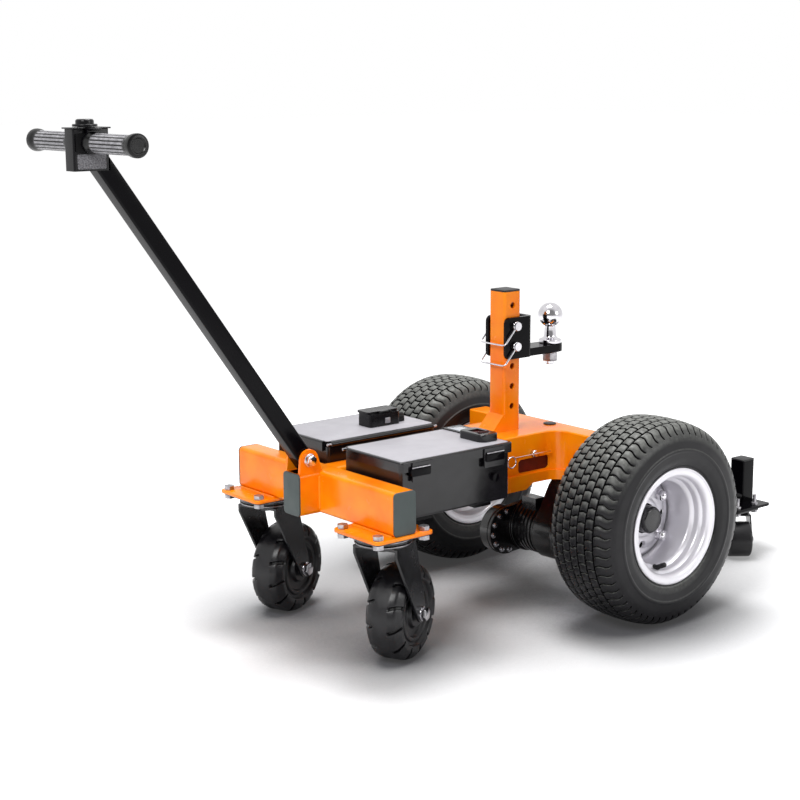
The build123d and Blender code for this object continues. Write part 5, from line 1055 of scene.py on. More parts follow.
@dataclass
class DriveWheel:
    """A drive wheel: turf tyre, stepped steel rim, hub, lug nuts and valve."""

    side: Side
    axle: tuple[float, float] = (248.0, 203.0)
    track_half: float = 290.0
    pitches: int = 62
    tread_depth: float = 6.0
    crown_run: float = 88.0          # the tread ends this far from the crown along the section
    rim_half: float = 75.0
    rim_points: int = 160
    barrel_sheet: float = 3.5
    disc_sheet: float = 4.0
    disc_height: float = -15.5
    lug_circle: float = 57.15
    nut_seat: float = -3.0
    hole_circle: float = 56.0
    hole_floor: float = -14.2

    @property
    def body(self) -> str:
        """The CAD body of this wheel."""
        return f"{self.side.word}_wheel"

    def place(self) -> Place:
        """The wheel's middle; the third direction looks out of the dolly."""
        return side_place(self.axle[0], self.side.value * self.track_half, self.axle[1], self.side.value)

    def ring_places(self, radius: float, height: float, angles: np.ndarray) -> list[Place]:
        """Places on a circle about the axle, at angles and a height over the wheel's middle."""
        spots = self.place().at(polar(radius, angles), height)
        return [side_place(*spot, self.side.value) for spot in spots]

    def outer_profile(self) -> np.ndarray:
        """The tyre's outside from bead to bead over the crown.

        Returns:
            (n, 2) rows of height and radius.
        """
        corners = np.array([[71.5, 103.0], [72.5, 112.0], [75.0, 115.5], [74.8, 118.5], [77.6, 121.0],
                            [81.3, 132.0], [82.3, 145.0], [83.4, 148.0], [83.4, 151.0], [82.2, 154.0],
                            [80.0, 170.0], [72.0, 188.0], [59.0, 198.0], [32.0, 202.2], [0.0, 203.0]])
        radii = np.array([0, 4, 2, 2, 4, 30, 6, 1.5, 1.5, 6, 30, 26, 40, 200, 0.0])
        return mirrored(rounded(corners, radii, 3, closed=False))

    def inner_profile(self) -> np.ndarray:
        """The tyre's inside from the far bead back to the near one, without the beads' own points.

        Returns:
            (n, 2) rows of height and radius.
        """
        corners = np.array([[-71.5, 103.0], [-60.0, 102.0], [-66.0, 116.0], [-73.0, 134.0], [-73.0, 156.0],
                            [-62.0, 182.0], [-40.0, 190.0], [40.0, 190.0], [62.0, 182.0], [73.0, 156.0],
                            [73.0, 134.0], [66.0, 116.0], [60.0, 102.0], [71.5, 103.0]])
        return rounded(corners, 4.0, 2, closed=False)[1:-1]

    def tread_rows(self) -> np.ndarray:
        """Where the tread's blocks lie along half the section, from the crown to the shoulder.

        Returns:
            (n, 4) rows, one a ring: its arc length from the crown, 1 in a groove that runs round
            the tyre and 0 on a block, the share of a pitch by which its blocks are shifted round,
            and how deep the cross grooves are here as a share of the full depth.
        """
        rows = []
        for low, high, shift in ((0.0, 8.0, 0.0), (11.2, 27.6, 0.5), (30.8, 47.2, 0.0), (50.4, 84.0, 0.5)):
            span, middle_block, shoulder_block = high - low, low == 0.0, high > 80.0
            if not middle_block:
                rows += [(low - 2.4, 1.0, shift, 1.0), (low - 1.0, 1.0, shift, 1.0), (low, 0.15, shift, 1.0)]
            run = np.linspace(0.0 if middle_block else 1.2, span - 1.2, 8 if shoulder_block else 3)
            bend = (0.13 * np.sin(FULL_TURN * run / span) if shoulder_block
                    else 0.1 * np.sin(math.pi * run / span))
            fade = np.interp(low + run, [0.0, 72.0, 82.0], [1.0, 1.0, 0.5])
            rows += zip(low + run, np.zeros(len(run)), shift + bend, fade)
            if shoulder_block:
                rows += [(high, 0.0, shift, 0.35), (high + 1.0, 0.0, shift, 0.0)]
            else:
                rows += [(high, 0.15, shift, 1.0), (high + 1.0, 1.0, shift, 1.0)]
        return np.array(rows)

    def tyre(self, shop: Workshop) -> None:
        """The turf tyre as one closed skin.

        Ring i lies at arc length s_i on the section, and its point j at the angle of sample j of
        its pitch plus the ring's own shift. The skin drops along the section's normal by the depth
        times the larger of the lane's share and the cross groove's share, so each block has a flat
        top, a steep wall and a floor, and its cross grooves bend where the shift changes.

        Args:
            shop: the workshop that makes the piece.
        """
        outer = self.outer_profile()
        run = np.concatenate([[0.0], np.cumsum(np.linalg.norm(np.diff(outer, axis=0), axis=1))])
        crown = run[-1] / 2.0
        sidewall = (run - crown)[run - crown > self.crown_run]
        bare = np.stack([sidewall] + [np.zeros(len(sidewall))] * 3, 1)
        half = np.vstack([self.tread_rows(), bare])
        rows = np.vstack([half[::-1] * np.array([-1.0, 1.0, -1.0, 1.0]), half])
        s, lane, shift, share = rows[np.append(True, np.diff(rows[:, 0]) > 0.05)].T
        height, radius = (np.interp(s + crown, run, outer[:, k]) for k in (0, 1))
        normal = unit(np.stack([np.gradient(radius, s), -np.gradient(height, s)], 1))
        outward = (normal * np.stack([0.3 * height, radius - 120.0], 1)).sum(1)
        normal = normal * np.sign(outward)[:, None]
        samples = np.array([0.0, 0.065, 0.095, 0.15, 0.5, 0.85, 0.905, 0.935])
        across = np.tile(GROOVE, self.pitches)
        share_cut = np.maximum(lane[:, None], share[:, None] * across[None])
        angle = pitched(samples, self.pitches)[None] + shift[:, None] * FULL_TURN / self.pitches
        r = radius[:, None] - share_cut * self.tread_depth * normal[:, 1:]
        h = height[:, None] - share_cut * self.tread_depth * normal[:, :1]
        # Painted shade: the grooves get a lower tone, lowest on their floors.
        tone = 1.0 - np.clip(1.3 * share_cut, 0.0, 1.0)
        inner, count = self.inner_profile(), len(across)
        h = np.vstack([h, np.repeat(inner[:, :1], count, 1)])
        r = np.vstack([r, np.repeat(inner[:, 1:], count, 1)])
        angle = np.vstack([angle, np.repeat(angle[-1:], len(inner), 0)])
        tone = np.vstack([tone, np.ones((len(inner), count))])
        skin = loft(self.place().at(polar(r, angle), h), wrap=True, tone=tone)
        word = self.side.word
        shop.piece(f"turf_tyre_{word}", [skin], TREAD_RUBBER, self.body, (f"tyre_{word}",))

    def well_shaded(self, skin: Patch) -> Patch:
        """Painted shade in the well: the tone falls towards the disc, and beside it most.

        The tone is 1 - 0.9 a b c. Over the wheel's middle a grows from 0 at height 14 to 1 at -12
        and b from 0 at -22 to 1 at -19, and c grows from 0 at radius 74 to 1 at 82.

        Args:
            skin: a skin of the rim.

        Returns:
            The same skin with its tone.
        """
        height = self.side.value * skin.points[:, 1] - self.track_half
        radius = np.hypot(skin.points[:, 0] - self.axle[0], skin.points[:, 2] - self.axle[1])
        deep = ramp(height, 14.0, -12.0) * ramp(height, -22.0, -19.0) * ramp(radius, 74.0, 82.0)
        return Patch(skin.points, skin.quads, skin.tris, 1.0 - 0.9 * deep)

    def barrel(self) -> Patch:
        """The rolled barrel: the section of a sheet, thickened along its normal, turned about the axle.

        Returns:
            Its closed skin.
        """
        line = rounded(np.array([[76.5, 114.5], [73.0, 114.5], [71.5, 100.8], [59.0, 99.8], [55.0, 94.5],
                                 [43.0, 93.5], [38.0, 86.0], [-37.0, 86.0], [-47.0, 95.5], [-56.0, 99.6],
                                 [-71.5, 100.8], [-73.0, 114.5], [-76.5, 114.5]]),
                       np.array([0, 2.5, 5, 2.5, 2.5, 3, 4, 6, 3, 3, 5, 2.5, 0.0]), 5, closed=False)
        tangent = unit(np.gradient(line, axis=0))
        normal = np.stack([-tangent[:, 1], tangent[:, 0]], 1)
        inward = -np.sign(normal[len(line) // 2, 1])
        back = line + self.barrel_sheet * inward * normal
        return revolve(np.vstack([line, back[::-1]]), self.place(), self.rim_points, wrap=True)

    def disc(self) -> Patch:
        """The pressed disc as a polar grid of heights over the deep outer dish.

        A smooth step lifts the nut ring by 9 inside a radius of 64 + 4.5 cos 4b, with b the angle
        from the first nut, so four lobes carry the nuts; a second lifts the middle by 3. Each nut
        stands on a pad of 1.8 exp(-(d / 12)^4) at distance d, four hand holes sink by 11, and the
        rim of the disc falls by 3 where it meets the barrel.

        Returns:
            Its closed skin.
        """
        radii = np.concatenate([[30.0], np.linspace(31.0, 83.0, 44)])[:, None]
        angle = np.arange(self.rim_points)[None] * FULL_TURN / self.rim_points
        from_nut_line = angle - math.pi / 4.0
        hat = 9.0 * soft_step(radii, 64.0 + 4.5 * np.cos(4.0 * from_nut_line), 2.2 / 6.0)
        centre = 3.0 * soft_step(radii, 38.0, 0.9)
        pad = 1.8 * np.exp(-((from_quarters(radii, from_nut_line, self.lug_circle) / 12.0) ** 4))
        hole = 11.0 * soft_step(from_quarters(radii, angle, self.hole_circle), 7.0, 2.4)
        front = self.disc_height + hat - 3.0 * ramp(radii, 73.0, 83.0) ** 2 + centre + pad - hole
        flat = polar(radii, angle)
        behind = self.place().at(flat[::-1], (front - self.disc_sheet)[::-1])
        return loft(np.vstack([self.place().at(flat, front), behind]), wrap=True)

    def rim(self, shop: Workshop) -> None:
        """The steel rim: barrel, rolled outer lip and disc, with a dark shade in each hand hole.

        Args:
            shop: the workshop that makes the pieces.
        """
        word = self.side.word
        lip = hoop(self.place().lifted(self.rim_half), 112.2, 2.4, self.rim_points, 10)
        skins = [self.well_shaded(skin) for skin in (self.barrel(), lip, self.disc())]
        shop.piece(f"steel_rim_{word}", skins, RIM_ENAMEL, self.body, (f"rim_{word}",))
        shades = [prism(round_outline(6.6, 28), place, -1.0, 0.5, 0.3, 1)
                  for place in self.ring_places(self.hole_circle, self.hole_floor, QUARTERS)]
        shop.piece(f"hand_hole_shade_{word}", shades, DARK_GAP, self.body)

    def hub(self, shop: Workshop) -> None:
        """The turned hub with its black pilot cap, and the nuts: coned seat, hexagon and dome.

        Args:
            shop: the workshop that makes the pieces.
        """
        word = self.side.word
        shaft = rounded(np.array([[-60.0, 12.0], [-60.0, 32.0], [-27.0, 32.0], [-27.0, 71.0], [-17.5, 71.0],
                                  [-17.5, 28.0], [14.0, 26.7], [20.0, 23.0], [20.6, 1.0]]),
                        np.array([0, 1, 2, 2, 2, 2, 3, 4, 0.0]), 3, closed=False)
        shop.piece(f"wheel_hub_{word}", [revolve(shaft, self.place(), 72)], CASTING, self.body,
                   (f"hub_{word}",))
        seat = np.array([[-6.0, 8.0], [0.0, 10.8], [1.5, 10.8], [1.6, 8.0]])
        rise = np.linspace(0.0, 1.45, 6)
        dome = np.vstack([[12.0, 8.6], np.stack([13.0 + 5.0 * np.sin(rise), 8.6 * np.cos(rise)], 1)])
        turns = math.pi / 4.0 + QUARTERS
        nuts = []
        for place, turn in zip(self.ring_places(self.lug_circle, self.nut_seat, turns), turns):
            hexagon = prism(sided_outline(19.0, 6, 0.7, turn), place, 1.0, 13.5, 1.2, 2)
            nuts += [revolve(seat, place, 32), hexagon, revolve(dome, place, 32)]
        shop.piece(f"wheel_nut_set_{word}", nuts, CHROME, self.body, (f"lug_nuts_{word}",))

    def valve(self, shop: Workshop) -> None:
        """The rubber tyre valve, which leans out of the rim's outer step.

        Args:
            shop: the workshop that makes the piece.
        """
        foot = self.place().at(np.array([-18.0, -88.0]), 42.0)
        tip = self.place().at(np.array([-16.5, -75.0]), 68.0)
        along = unit(tip - foot)
        first = unit(np.cross(along, [1.0, 0.0, 0.0]))
        place = Place(tuple(foot), tuple(first), tuple(np.cross(along, first)), tuple(along))
        profile = rounded(np.array([[-6.0, 7.0], [2.0, 8.0], [6.0, 5.5], [17.0, 4.6], [18.0, 4.6],
                                    [18.0, 5.2], [28.0, 4.8], [29.5, 3.0]]),
                          np.array([0, 2, 3, 1, 0.2, 0.4, 1.2, 0.0]), 3, closed=False)
        shop.piece(f"tyre_valve_{self.side.word}", [revolve(profile, place, 28)], CAP_BLACK, self.body)

    def build(self, shop: Workshop) -> None:
        """Makes the tyre, the rim, the hub with its nuts, and the valve.

        Args:
            shop: the workshop that makes the pieces.
        """
        self.tyre(shop)
        self.rim(shop)
        self.hub(shop)
        self.valve(shop)


@dataclass
class PowerBay:
    """The two boxes with lids, latches, display, rocker and charging socket."""

    box_x: tuple[float, float] = (-290.4, -27.4)
    box_y: tuple[float, float] = (25.0, 193.0)
    box_z: tuple[float, float] = (272.0, 370.7)
    lid_x: tuple[float, float] = (-295.4, -22.4)
    lid_y: tuple[float, float] = (24.0, 198.0)
    lid_top: float = 381.0
    sheet_margin: float = 6.0
    latch_x: tuple[float, float] = (-252.0, -72.0)
    latch_z: float = 361.0
    wire_y: float = 203.4
    wire_z: float = 369.5
    wire_length: float = 42.0
    knob: tuple[float, float] = (-67.0, 320.0)
    catch: tuple[float, float, float] = (-112.0, 69.4, 392.0)
    sunk: float = 0.5                # how far a block on a wall starts inside that wall

    def box(self, shop: Workshop, side: Side) -> None:
        """One open box: the outline goes up outside, over the rim and down inside, and is closed below.

        Args:
            shop: the workshop that makes the piece.
            side: which box.
        """
        (left, right), (inner, outer), (low, high) = self.box_x, self.box_y, self.box_z
        place = up_place((left + right) / 2.0, side.value * (inner + outer) / 2.0, 0.0)
        outline = box_outline(right - left, outer - inner, 7.0, 6)
        drawn = np.array([6.0, 2.0, 0.4, 0.0, 0.0, 0.6, 2.4, 3.0, 3.0, 4.0, 8.0])
        height = np.array([low, low + 0.4, low + 2.0, low + 5.0, high - 0.6, high, high, high - 0.6,
                           low + 6.0, low + 3.4, low + 3.0])
        rings = place.at(inset(outline, drawn), np.repeat(height[:, None], len(outline), 1))
        shop.piece(f"moulded_box_{side.word}", [loft(rings)], BOX_PLASTIC, "chassis",
                   (f"battery_box_{side.word}",))

    def lid(self, shop: Workshop, side: Side) -> None:
        """One lid: the pressed cover with its skirt, and the pale sheet let into its top.

        Args:
            shop: the workshop that makes the pieces.
            side: which lid.
        """
        body = f"{side.word}_lid"
        shop.softened(f"lid_{side.word}", f"pressed_lid_{side.word}", BOX_PLASTIC, body, "gloss_black", 0.9)
        (left, right), (inner, outer), margin = self.lid_x, self.lid_y, 2.0 * self.sheet_margin
        place = up_place((left + right) / 2.0, side.value * (inner + outer) / 2.0, self.lid_top)
        outline = box_outline(right - left - margin, outer - inner - margin, 5.0, 5)
        shop.piece(f"lid_top_sheet_{side.word}", [prism(outline, place, -0.6, 0.5, 0.3, 2)], LID_SHEET, body)

    def latches(self, shop: Workshop, side: Side) -> None:
        """The latch plates and wires on a lid's skirt, and the round knob on the box's side.

        Args:
            shop: the workshop that makes the pieces.
            side: which box and lid.
        """
        body, out = f"{side.word}_lid", side.value
        skirt, wall = out * (self.lid_y[1] - self.sunk), out * (self.box_y[1] - self.sunk)
        outline = box_outline(46.0, 16.0, 3.0, 4)
        plates = [prism(outline, side_place(x, skirt, self.latch_z, out), 0.0, 6.0, 1.0, 3)
                  for x in self.latch_x]
        shop.piece(f"lid_latch_plates_{side.word}", plates, BLACK_COAT, body)
        starts = [front_place(x - self.wire_length / 2.0, out * self.wire_y, self.wire_z, 1.0)
                  for x in self.latch_x]
        wires = [prism(round_outline(1.2, 16), start, 0.0, self.wire_length, 0.3, 1) for start in starts]
        shop.piece(f"lid_latch_wires_{side.word}", wires, ZINC, body)
        x, z = self.knob
        knob = prism(round_outline(8.5, 36), side_place(x, wall, z, out), 0.0, 8.0, 1.8, 4)
        shop.piece(f"box_side_knob_{side.word}", [knob], BLACK_COAT, "chassis")

    def fittings(self, shop: Workshop) -> None:
        """The display, the power rocker and the charging socket on the lids.

        Args:
            shop: the workshop that makes the pieces.
        """
        shop.softened("display_panel", "display_bezel", CONTROL_PLASTIC, "near_lid", "matte_black", 0.7)
        low, high = (np.array(corner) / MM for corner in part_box("display_panel"))
        middle = up_place(*(low[:2] + high[:2]) / 2.0, high[2])
        shop.piece("display_pane", [prism(box_outline(33.0, 44.0, 2.0, 3), middle, -0.5, 0.5, 0.3, 2)],
                   SCREEN_GLASS, "near_lid")
        shop.softened("power_rocker", "rocker_key", ROCKER_PLASTIC, "rocker", "red_plastic", 0.6)
        shop.softened("charge_socket", "socket_housing", CONTROL_PLASTIC, "far_lid", "matte_black", 1.0)
        catch = prism(box_outline(13.0, 11.0, 1.5, 3), side_place(*self.catch, -1.0), 0.0, 1.6, 0.5, 2)
        shop.piece("socket_catch", [catch], ZINC, "far_lid")
        shop.softened("socket_cap", "socket_flap", CONTROL_PLASTIC, "cap", "matte_black", 0.8)
        shop.softened("lid_hinge_pins", "hinge_pin_pair", ZINC, "chassis", "zinc", 0.2)

    def build(self, shop: Workshop) -> None:
        """Makes both boxes with their lids and latches, then what stands on the lids.

        Args:
            shop: the workshop that makes the pieces.
        """
        for side in Side:
            self.box(shop, side)
            self.lid(shop, side)
            self.latches(shop, side)
        self.fittings(shop)


@dataclass
class Tiller:
    """The tiller tube, handlebar, grips, control box, knob and throttle."""

    top: tuple[float, float] = (-789.0, 955.0)
    grip_start: float = 25.0
    grip_end: float = 171.0
    grip_radius: float = 16.2
    bell_at: float = 16.0            # the outer bell begins this far from the grip's end
    flutes: int = 16
    flute_depth: float = 1.5
    control_x: float = -785.5
    control_half: float = 15.0
    control_top: float = 977.6

    def grips(self, shop: Workshop) -> None:
        """The rubber grips.

        Along the grip the radius swells to a bell at both ends. Between the bells it is cut by
        flutes that run along it, depth times the positive part of cos(flutes a) to the power 0.7.
        The outer end has a shallow recess.

        Args:
            shop: the workshop that makes the piece.
        """
        t = np.linspace(0.0, 1.0, 90)
        y = self.grip_start + t * (self.grip_end - self.grip_start)
        bell_in = np.exp(-(((y - self.grip_start) / 9.0) ** 2))
        bell_out = soft_step(y, self.grip_end - self.bell_at, -1.0 / 2.6)
        rims = np.sqrt(1.0 - ramp(np.abs(2.0 * t - 1.0), 0.965, 1.0) ** 2)
        radius = (self.grip_radius + 2.2 * bell_in + 3.1 * bell_out) * (0.82 + 0.18 * rims)
        y = np.append(y, self.grip_end - np.array([0.3, 1.9, 2.0]))[:, None]
        radius = np.append(radius, [12.6, 11.2, 1.0])[:, None]
        angle = np.arange(128) * FULL_TURN / 128
        cut_from, cut_to = self.grip_start + 16.0, self.grip_end - 22.0
        cut = ramp(y, cut_from, cut_from + 4.0) * ramp(y, cut_to, cut_to - 4.0)
        depth = self.flute_depth * cut * np.clip(np.cos(self.flutes * angle), 0.0, 1.0) ** 0.7
        # Painted highlight and shade: the tone is 1 on the ribs, and 0 in the flutes and on the bells.
        tone = cut * (1.0 - np.clip(depth / 1.1, 0.0, 1.0))
        flat, height = polar(radius - depth, angle), np.repeat(y, len(angle), 1)
        found = [loft(side_place(self.top[0], 0.0, self.top[1], side.value).at(flat, height), tone=tone)
                 for side in Side]
        shop.piece("fluted_grips", found, GRIP_RUBBER, "tiller", ("hand_grips",))

    def side_blocks(self, outline: np.ndarray, x: float, z: float, high: float, edge: float,
                    steps: int) -> list[Patch]:
        """A thin block on each side of the control box.

        Args:
            outline: the block's outline.
            x: where its middle lies.
            z: how high its middle lies.
            high: how far it stands out of the box's side.
            edge: radius of its rims.
            steps: runs in each rim.

        Returns:
            The two skins.
        """
        return [prism(outline, side_place(x, side.value * self.control_half, z, side.value), -0.5, high, edge,
                      steps) for side in Side]

    def controls(self, shop: Workshop) -> None:
        """The control box, the speed knob and the thumb throttle.

        Args:
            shop: the workshop that makes the pieces.
        """
        shop.softened("control_box", "control_housing", CONTROL_PLASTIC, "tiller", "matte_black", 1.2)
        patches = self.side_blocks(box_outline(52.0, 24.0, 2.0, 3), self.control_x, 925.0, 0.5, 0.3, 2)
        shop.piece("control_grain_patches", patches, CONTROL_GRAIN, "tiller")
        shades = self.side_blocks(box_outline(26.0, 30.0, 2.0, 3), self.control_x - 15.0, 955.5, 0.4, 0.2, 1)
        shop.piece("control_switch_shades", shades, DARK_GAP, "tiller")
        above = up_place(self.control_x, 0.0, self.control_top)
        plate = prism(box_outline(72.0, 38.0, 4.0, 4), above, 0.0, 2.4, 0.8, 3)
        shop.piece("control_top_plate", [plate], CONTROL_PLASTIC, "tiller")
        shop.soften_all((
            ("speed_knob", "speed_dial", CONTROL_PLASTIC, "knob", "matte_black", 0.7),
            ("thumb_throttle", "thumb_paddle", CONTROL_PLASTIC, "throttle", "matte_black", 0.8),
        ))

    def build(self, shop: Workshop) -> None:
        """Makes the tubes with their rolled corners, the grips and the controls.

        Args:
            shop: the workshop that makes the pieces.
        """
        shop.soften_all((
            ("tiller_tube", "tiller_square_tube", BLACK_COAT, "tiller", "black_paint", 0.6),
            ("handle_bar", "handlebar_tube", BLACK_COAT, "tiller", "black_paint", 0.0),
        ))
        self.grips(shop)
        self.controls(shop)


@dataclass
class Hitch:
    """The post, gusset, ball bracket, tow ball and the two pins with their wire bails."""

    ball_x: float = 263.0
    ball_z: float = 573.0
    ball_radius: float = 25.4
    neck_radius: float = 11.5
    seat_drop: float = 58.0
    tongue: float = 16.0

    def ball(self, shop: Workshop) -> None:
        """The chromed tow ball turned as one profile, with its shank, washer and nut.

        Args:
            shop: the workshop that makes the pieces.
        """
        place = up_place(self.ball_x, 0.0, self.ball_z)
        start = math.asin(self.neck_radius / self.ball_radius)
        sphere = polar(self.ball_radius, np.linspace(math.pi - start, 0.22, 26))
        neck = rounded(np.array([[-58.0, 9.5], [-58.0, 23.0], [-50.0, 23.0], [-46.0, 13.0],
                                 [-26.0, self.neck_radius]]), np.array([0, 1.5, 2, 7, 0.0]), 4, closed=False)
        crown = np.array([[25.05, 4.0], [25.1, 1.5]])
        shank = np.array([[-102.0, 4.0], [-102.0, 8.0], [-100.5, 9.5]])
        shop.piece("chromed_tow_ball", [revolve(np.vstack([shank, neck, sphere, crown]), place, 96)], CHROME,
                   "chassis", ("tow_ball",))
        below = down_place(self.ball_x, 0.0, self.ball_z - self.seat_drop - self.tongue)
        nut = [prism(round_outline(17.0, 48), below, 0.0, 3.0, 0.5, 2),
               prism(sided_outline(29.0, 6, 0.8, 0.2), below, 3.0, 20.9, 2.0, 3)]
        shop.piece("ball_lock_nut", nut, ZINC, "chassis", ("ball_nut",))

    def build(self, shop: Workshop) -> None:
        """Makes the ball, then the post with its pin holes, the gusset, the bracket and the pins.

        Args:
            shop: the workshop that makes the pieces.
        """
        self.ball(shop)
        shop.soften_all((
            ("hitch_post", "hitch_post_tube", ORANGE_COAT, "chassis", "orange_paint", 0.5),
            ("post_gusset", "post_gusset_plate", ORANGE_COAT, "chassis", "orange_paint", 0.8),
            ("ball_bracket", "ball_bracket_pressed", BLACK_COAT, "chassis", "black_paint", 1.0),
            ("hitch_pins", "bracket_pins", CHROME, "chassis", "chrome", 0.0),
            ("pin_bail_upper", "wire_bail_upper", CHROME, "upper_bail", "chrome", 0.0),
            ("pin_bail_lower", "wire_bail_lower", CHROME, "lower_bail", "chrome", 0.0),
        ))


@dataclass
class Driveline:
    """The rear frame, arms, transaxle, motor and the casters' races and bolts."""

    window: tuple[float, float] = (84.0, 28.0)
    window_at: tuple[float, float, float] = (148.0, -70.45, 289.0)
    motor: tuple[float, float] = (209.0, 141.0)
    motor_rings: tuple[float, ...] = (-7.2, -1.2, -68.6)
    reduction: tuple[float, float] = (149.0, 135.0)
    reduction_rings: tuple[float, ...] = (1.4, 10.6)
    bolt_circle: float = 41.0
    race: tuple[float, float] = (-325.4, 184.2)
    race_rings: tuple[float, float] = (241.6, 249.8)

    def gear_case(self, shop: Workshop) -> None:
        """The machined joint rings of the motor and the gear housing, with their bolt heads.

        Args:
            shop: the workshop that makes the pieces.
        """
        (motor_x, motor_z), (gear_x, gear_z) = self.motor, self.reduction
        rings = [hoop(side_place(gear_x, y, gear_z, 1.0), 48.6, 1.7, 96, 10) for y in self.reduction_rings]
        rings += [hoop(side_place(motor_x, y, motor_z, 1.0), 56.6, 1.5, 96, 10) for y in self.motor_rings]
        shop.piece("gear_case_rings", rings, CASTING, "chassis")
        bolt = Bolt(flats=8.0, head=4.0, washer=6.5, washer_thickness=1.0, shank=3.0)
        circle = polar(self.bolt_circle, np.radians(np.arange(95.0, 276.0, 30.0)))
        heads = []
        for x, z in circle:
            heads += bolt.hex_end(side_place(gear_x + x, 0.0, gear_z + z, -1.0), 0.2)
        shop.piece("gear_case_bolts", heads, CHROME, "chassis")

    def build(self, shop: Workshop) -> None:
        """Dresses the frame tubes, the castings and the arms with rounded rims.

        Args:
            shop: the workshop that makes the pieces.
        """
        shop.softened("rear_frame", "rear_frame_shell", ORANGE_COAT, "chassis", "orange_paint", 1.2, 3)
        # A thin dark red sheet behind the nose window: painted shade.
        shade_sheet = prism(box_outline(self.window[0] + 12.0, self.window[1] + 10.0, 6.0),
                      side_place(*self.window_at, 1.0), 0.0, 1.2, 0.3, 1)
        shop.piece("nose_window_shade_sheet", [shade_sheet], NOSE_SHADE, "chassis")
        self.gear_case(shop)
        shop.soften_all((
            ("spine_tube", "spine_square_tube", ORANGE_COAT, "chassis", "orange_paint", 1.0),
            ("rear_arms", "rear_arm_pair", BLACK_COAT, "chassis", "black_paint", 0.9),
            ("battery_straps", "battery_strap_pair", BLACK_COAT, "chassis", "black_paint", 0.6),
            ("transaxle_case", "transaxle_casting", CASTING, "chassis", "black_iron", 1.2),
            ("drive_motor", "drive_motor_can", CASTING, "chassis", "black_iron", 0.6),
            ("reduction_housing", "reduction_casting", CASTING, "chassis", "black_iron", 1.0),
            ("axle_tubes", "axle_tube_pair", CASTING, "chassis", "black_iron", 0.3),
            ("axle_clamps", "axle_saddle_pair", SADDLE_CASTING, "chassis", "black_iron", 0.8),
            ("caster_raceways", "caster_raceway_set", FORK_PAINT, "chassis", "zinc", 0.6),
        ))
        x, y = self.race
        rims = [hoop(up_place(x, side.value * y, z), 51.2, 1.3, 72, 10)
                for side in Side for z in self.race_rings]
        shop.piece("caster_race_rims", rims, ZINC, "chassis")
        shop.soften_all((
            ("caster_bolts", "caster_bolt_set", ZINC, "chassis", "chrome", 0.4),
            ("freewheel_pin", "freewheel_pull_pin", CHROME, "pull_pin", "chrome", 0.0),
            ("batteries", "battery_pair", BATTERY_CASE, "chassis", "gloss_black", 0.8),
            ("motor_controller", "controller_block", FIN_METAL, "chassis", "fin_alloy", 0.3),
        ))


# The studio


def seen_directly(tree: bpy.types.NodeTree) -> bpy.types.NodeSocket:
    """A share that is 1 for what the camera, gloss and glass see and 0 for what lights the object.

    Args:
        tree: the material's or the world's tree.

    Returns:
        The socket that carries the share.
    """
    path = add_node(tree, "ShaderNodeLightPath").outputs
    eye = add_node(tree, "ShaderNodeMath", links={0: path["Is Camera Ray"], 1: path["Is Glossy Ray"]},
                   operation="MAXIMUM")
    both = add_node(tree, "ShaderNodeMath", links={0: eye.outputs[0], 1: path["Is Transmission Ray"]},
                    operation="MAXIMUM")
    return both.outputs[0]


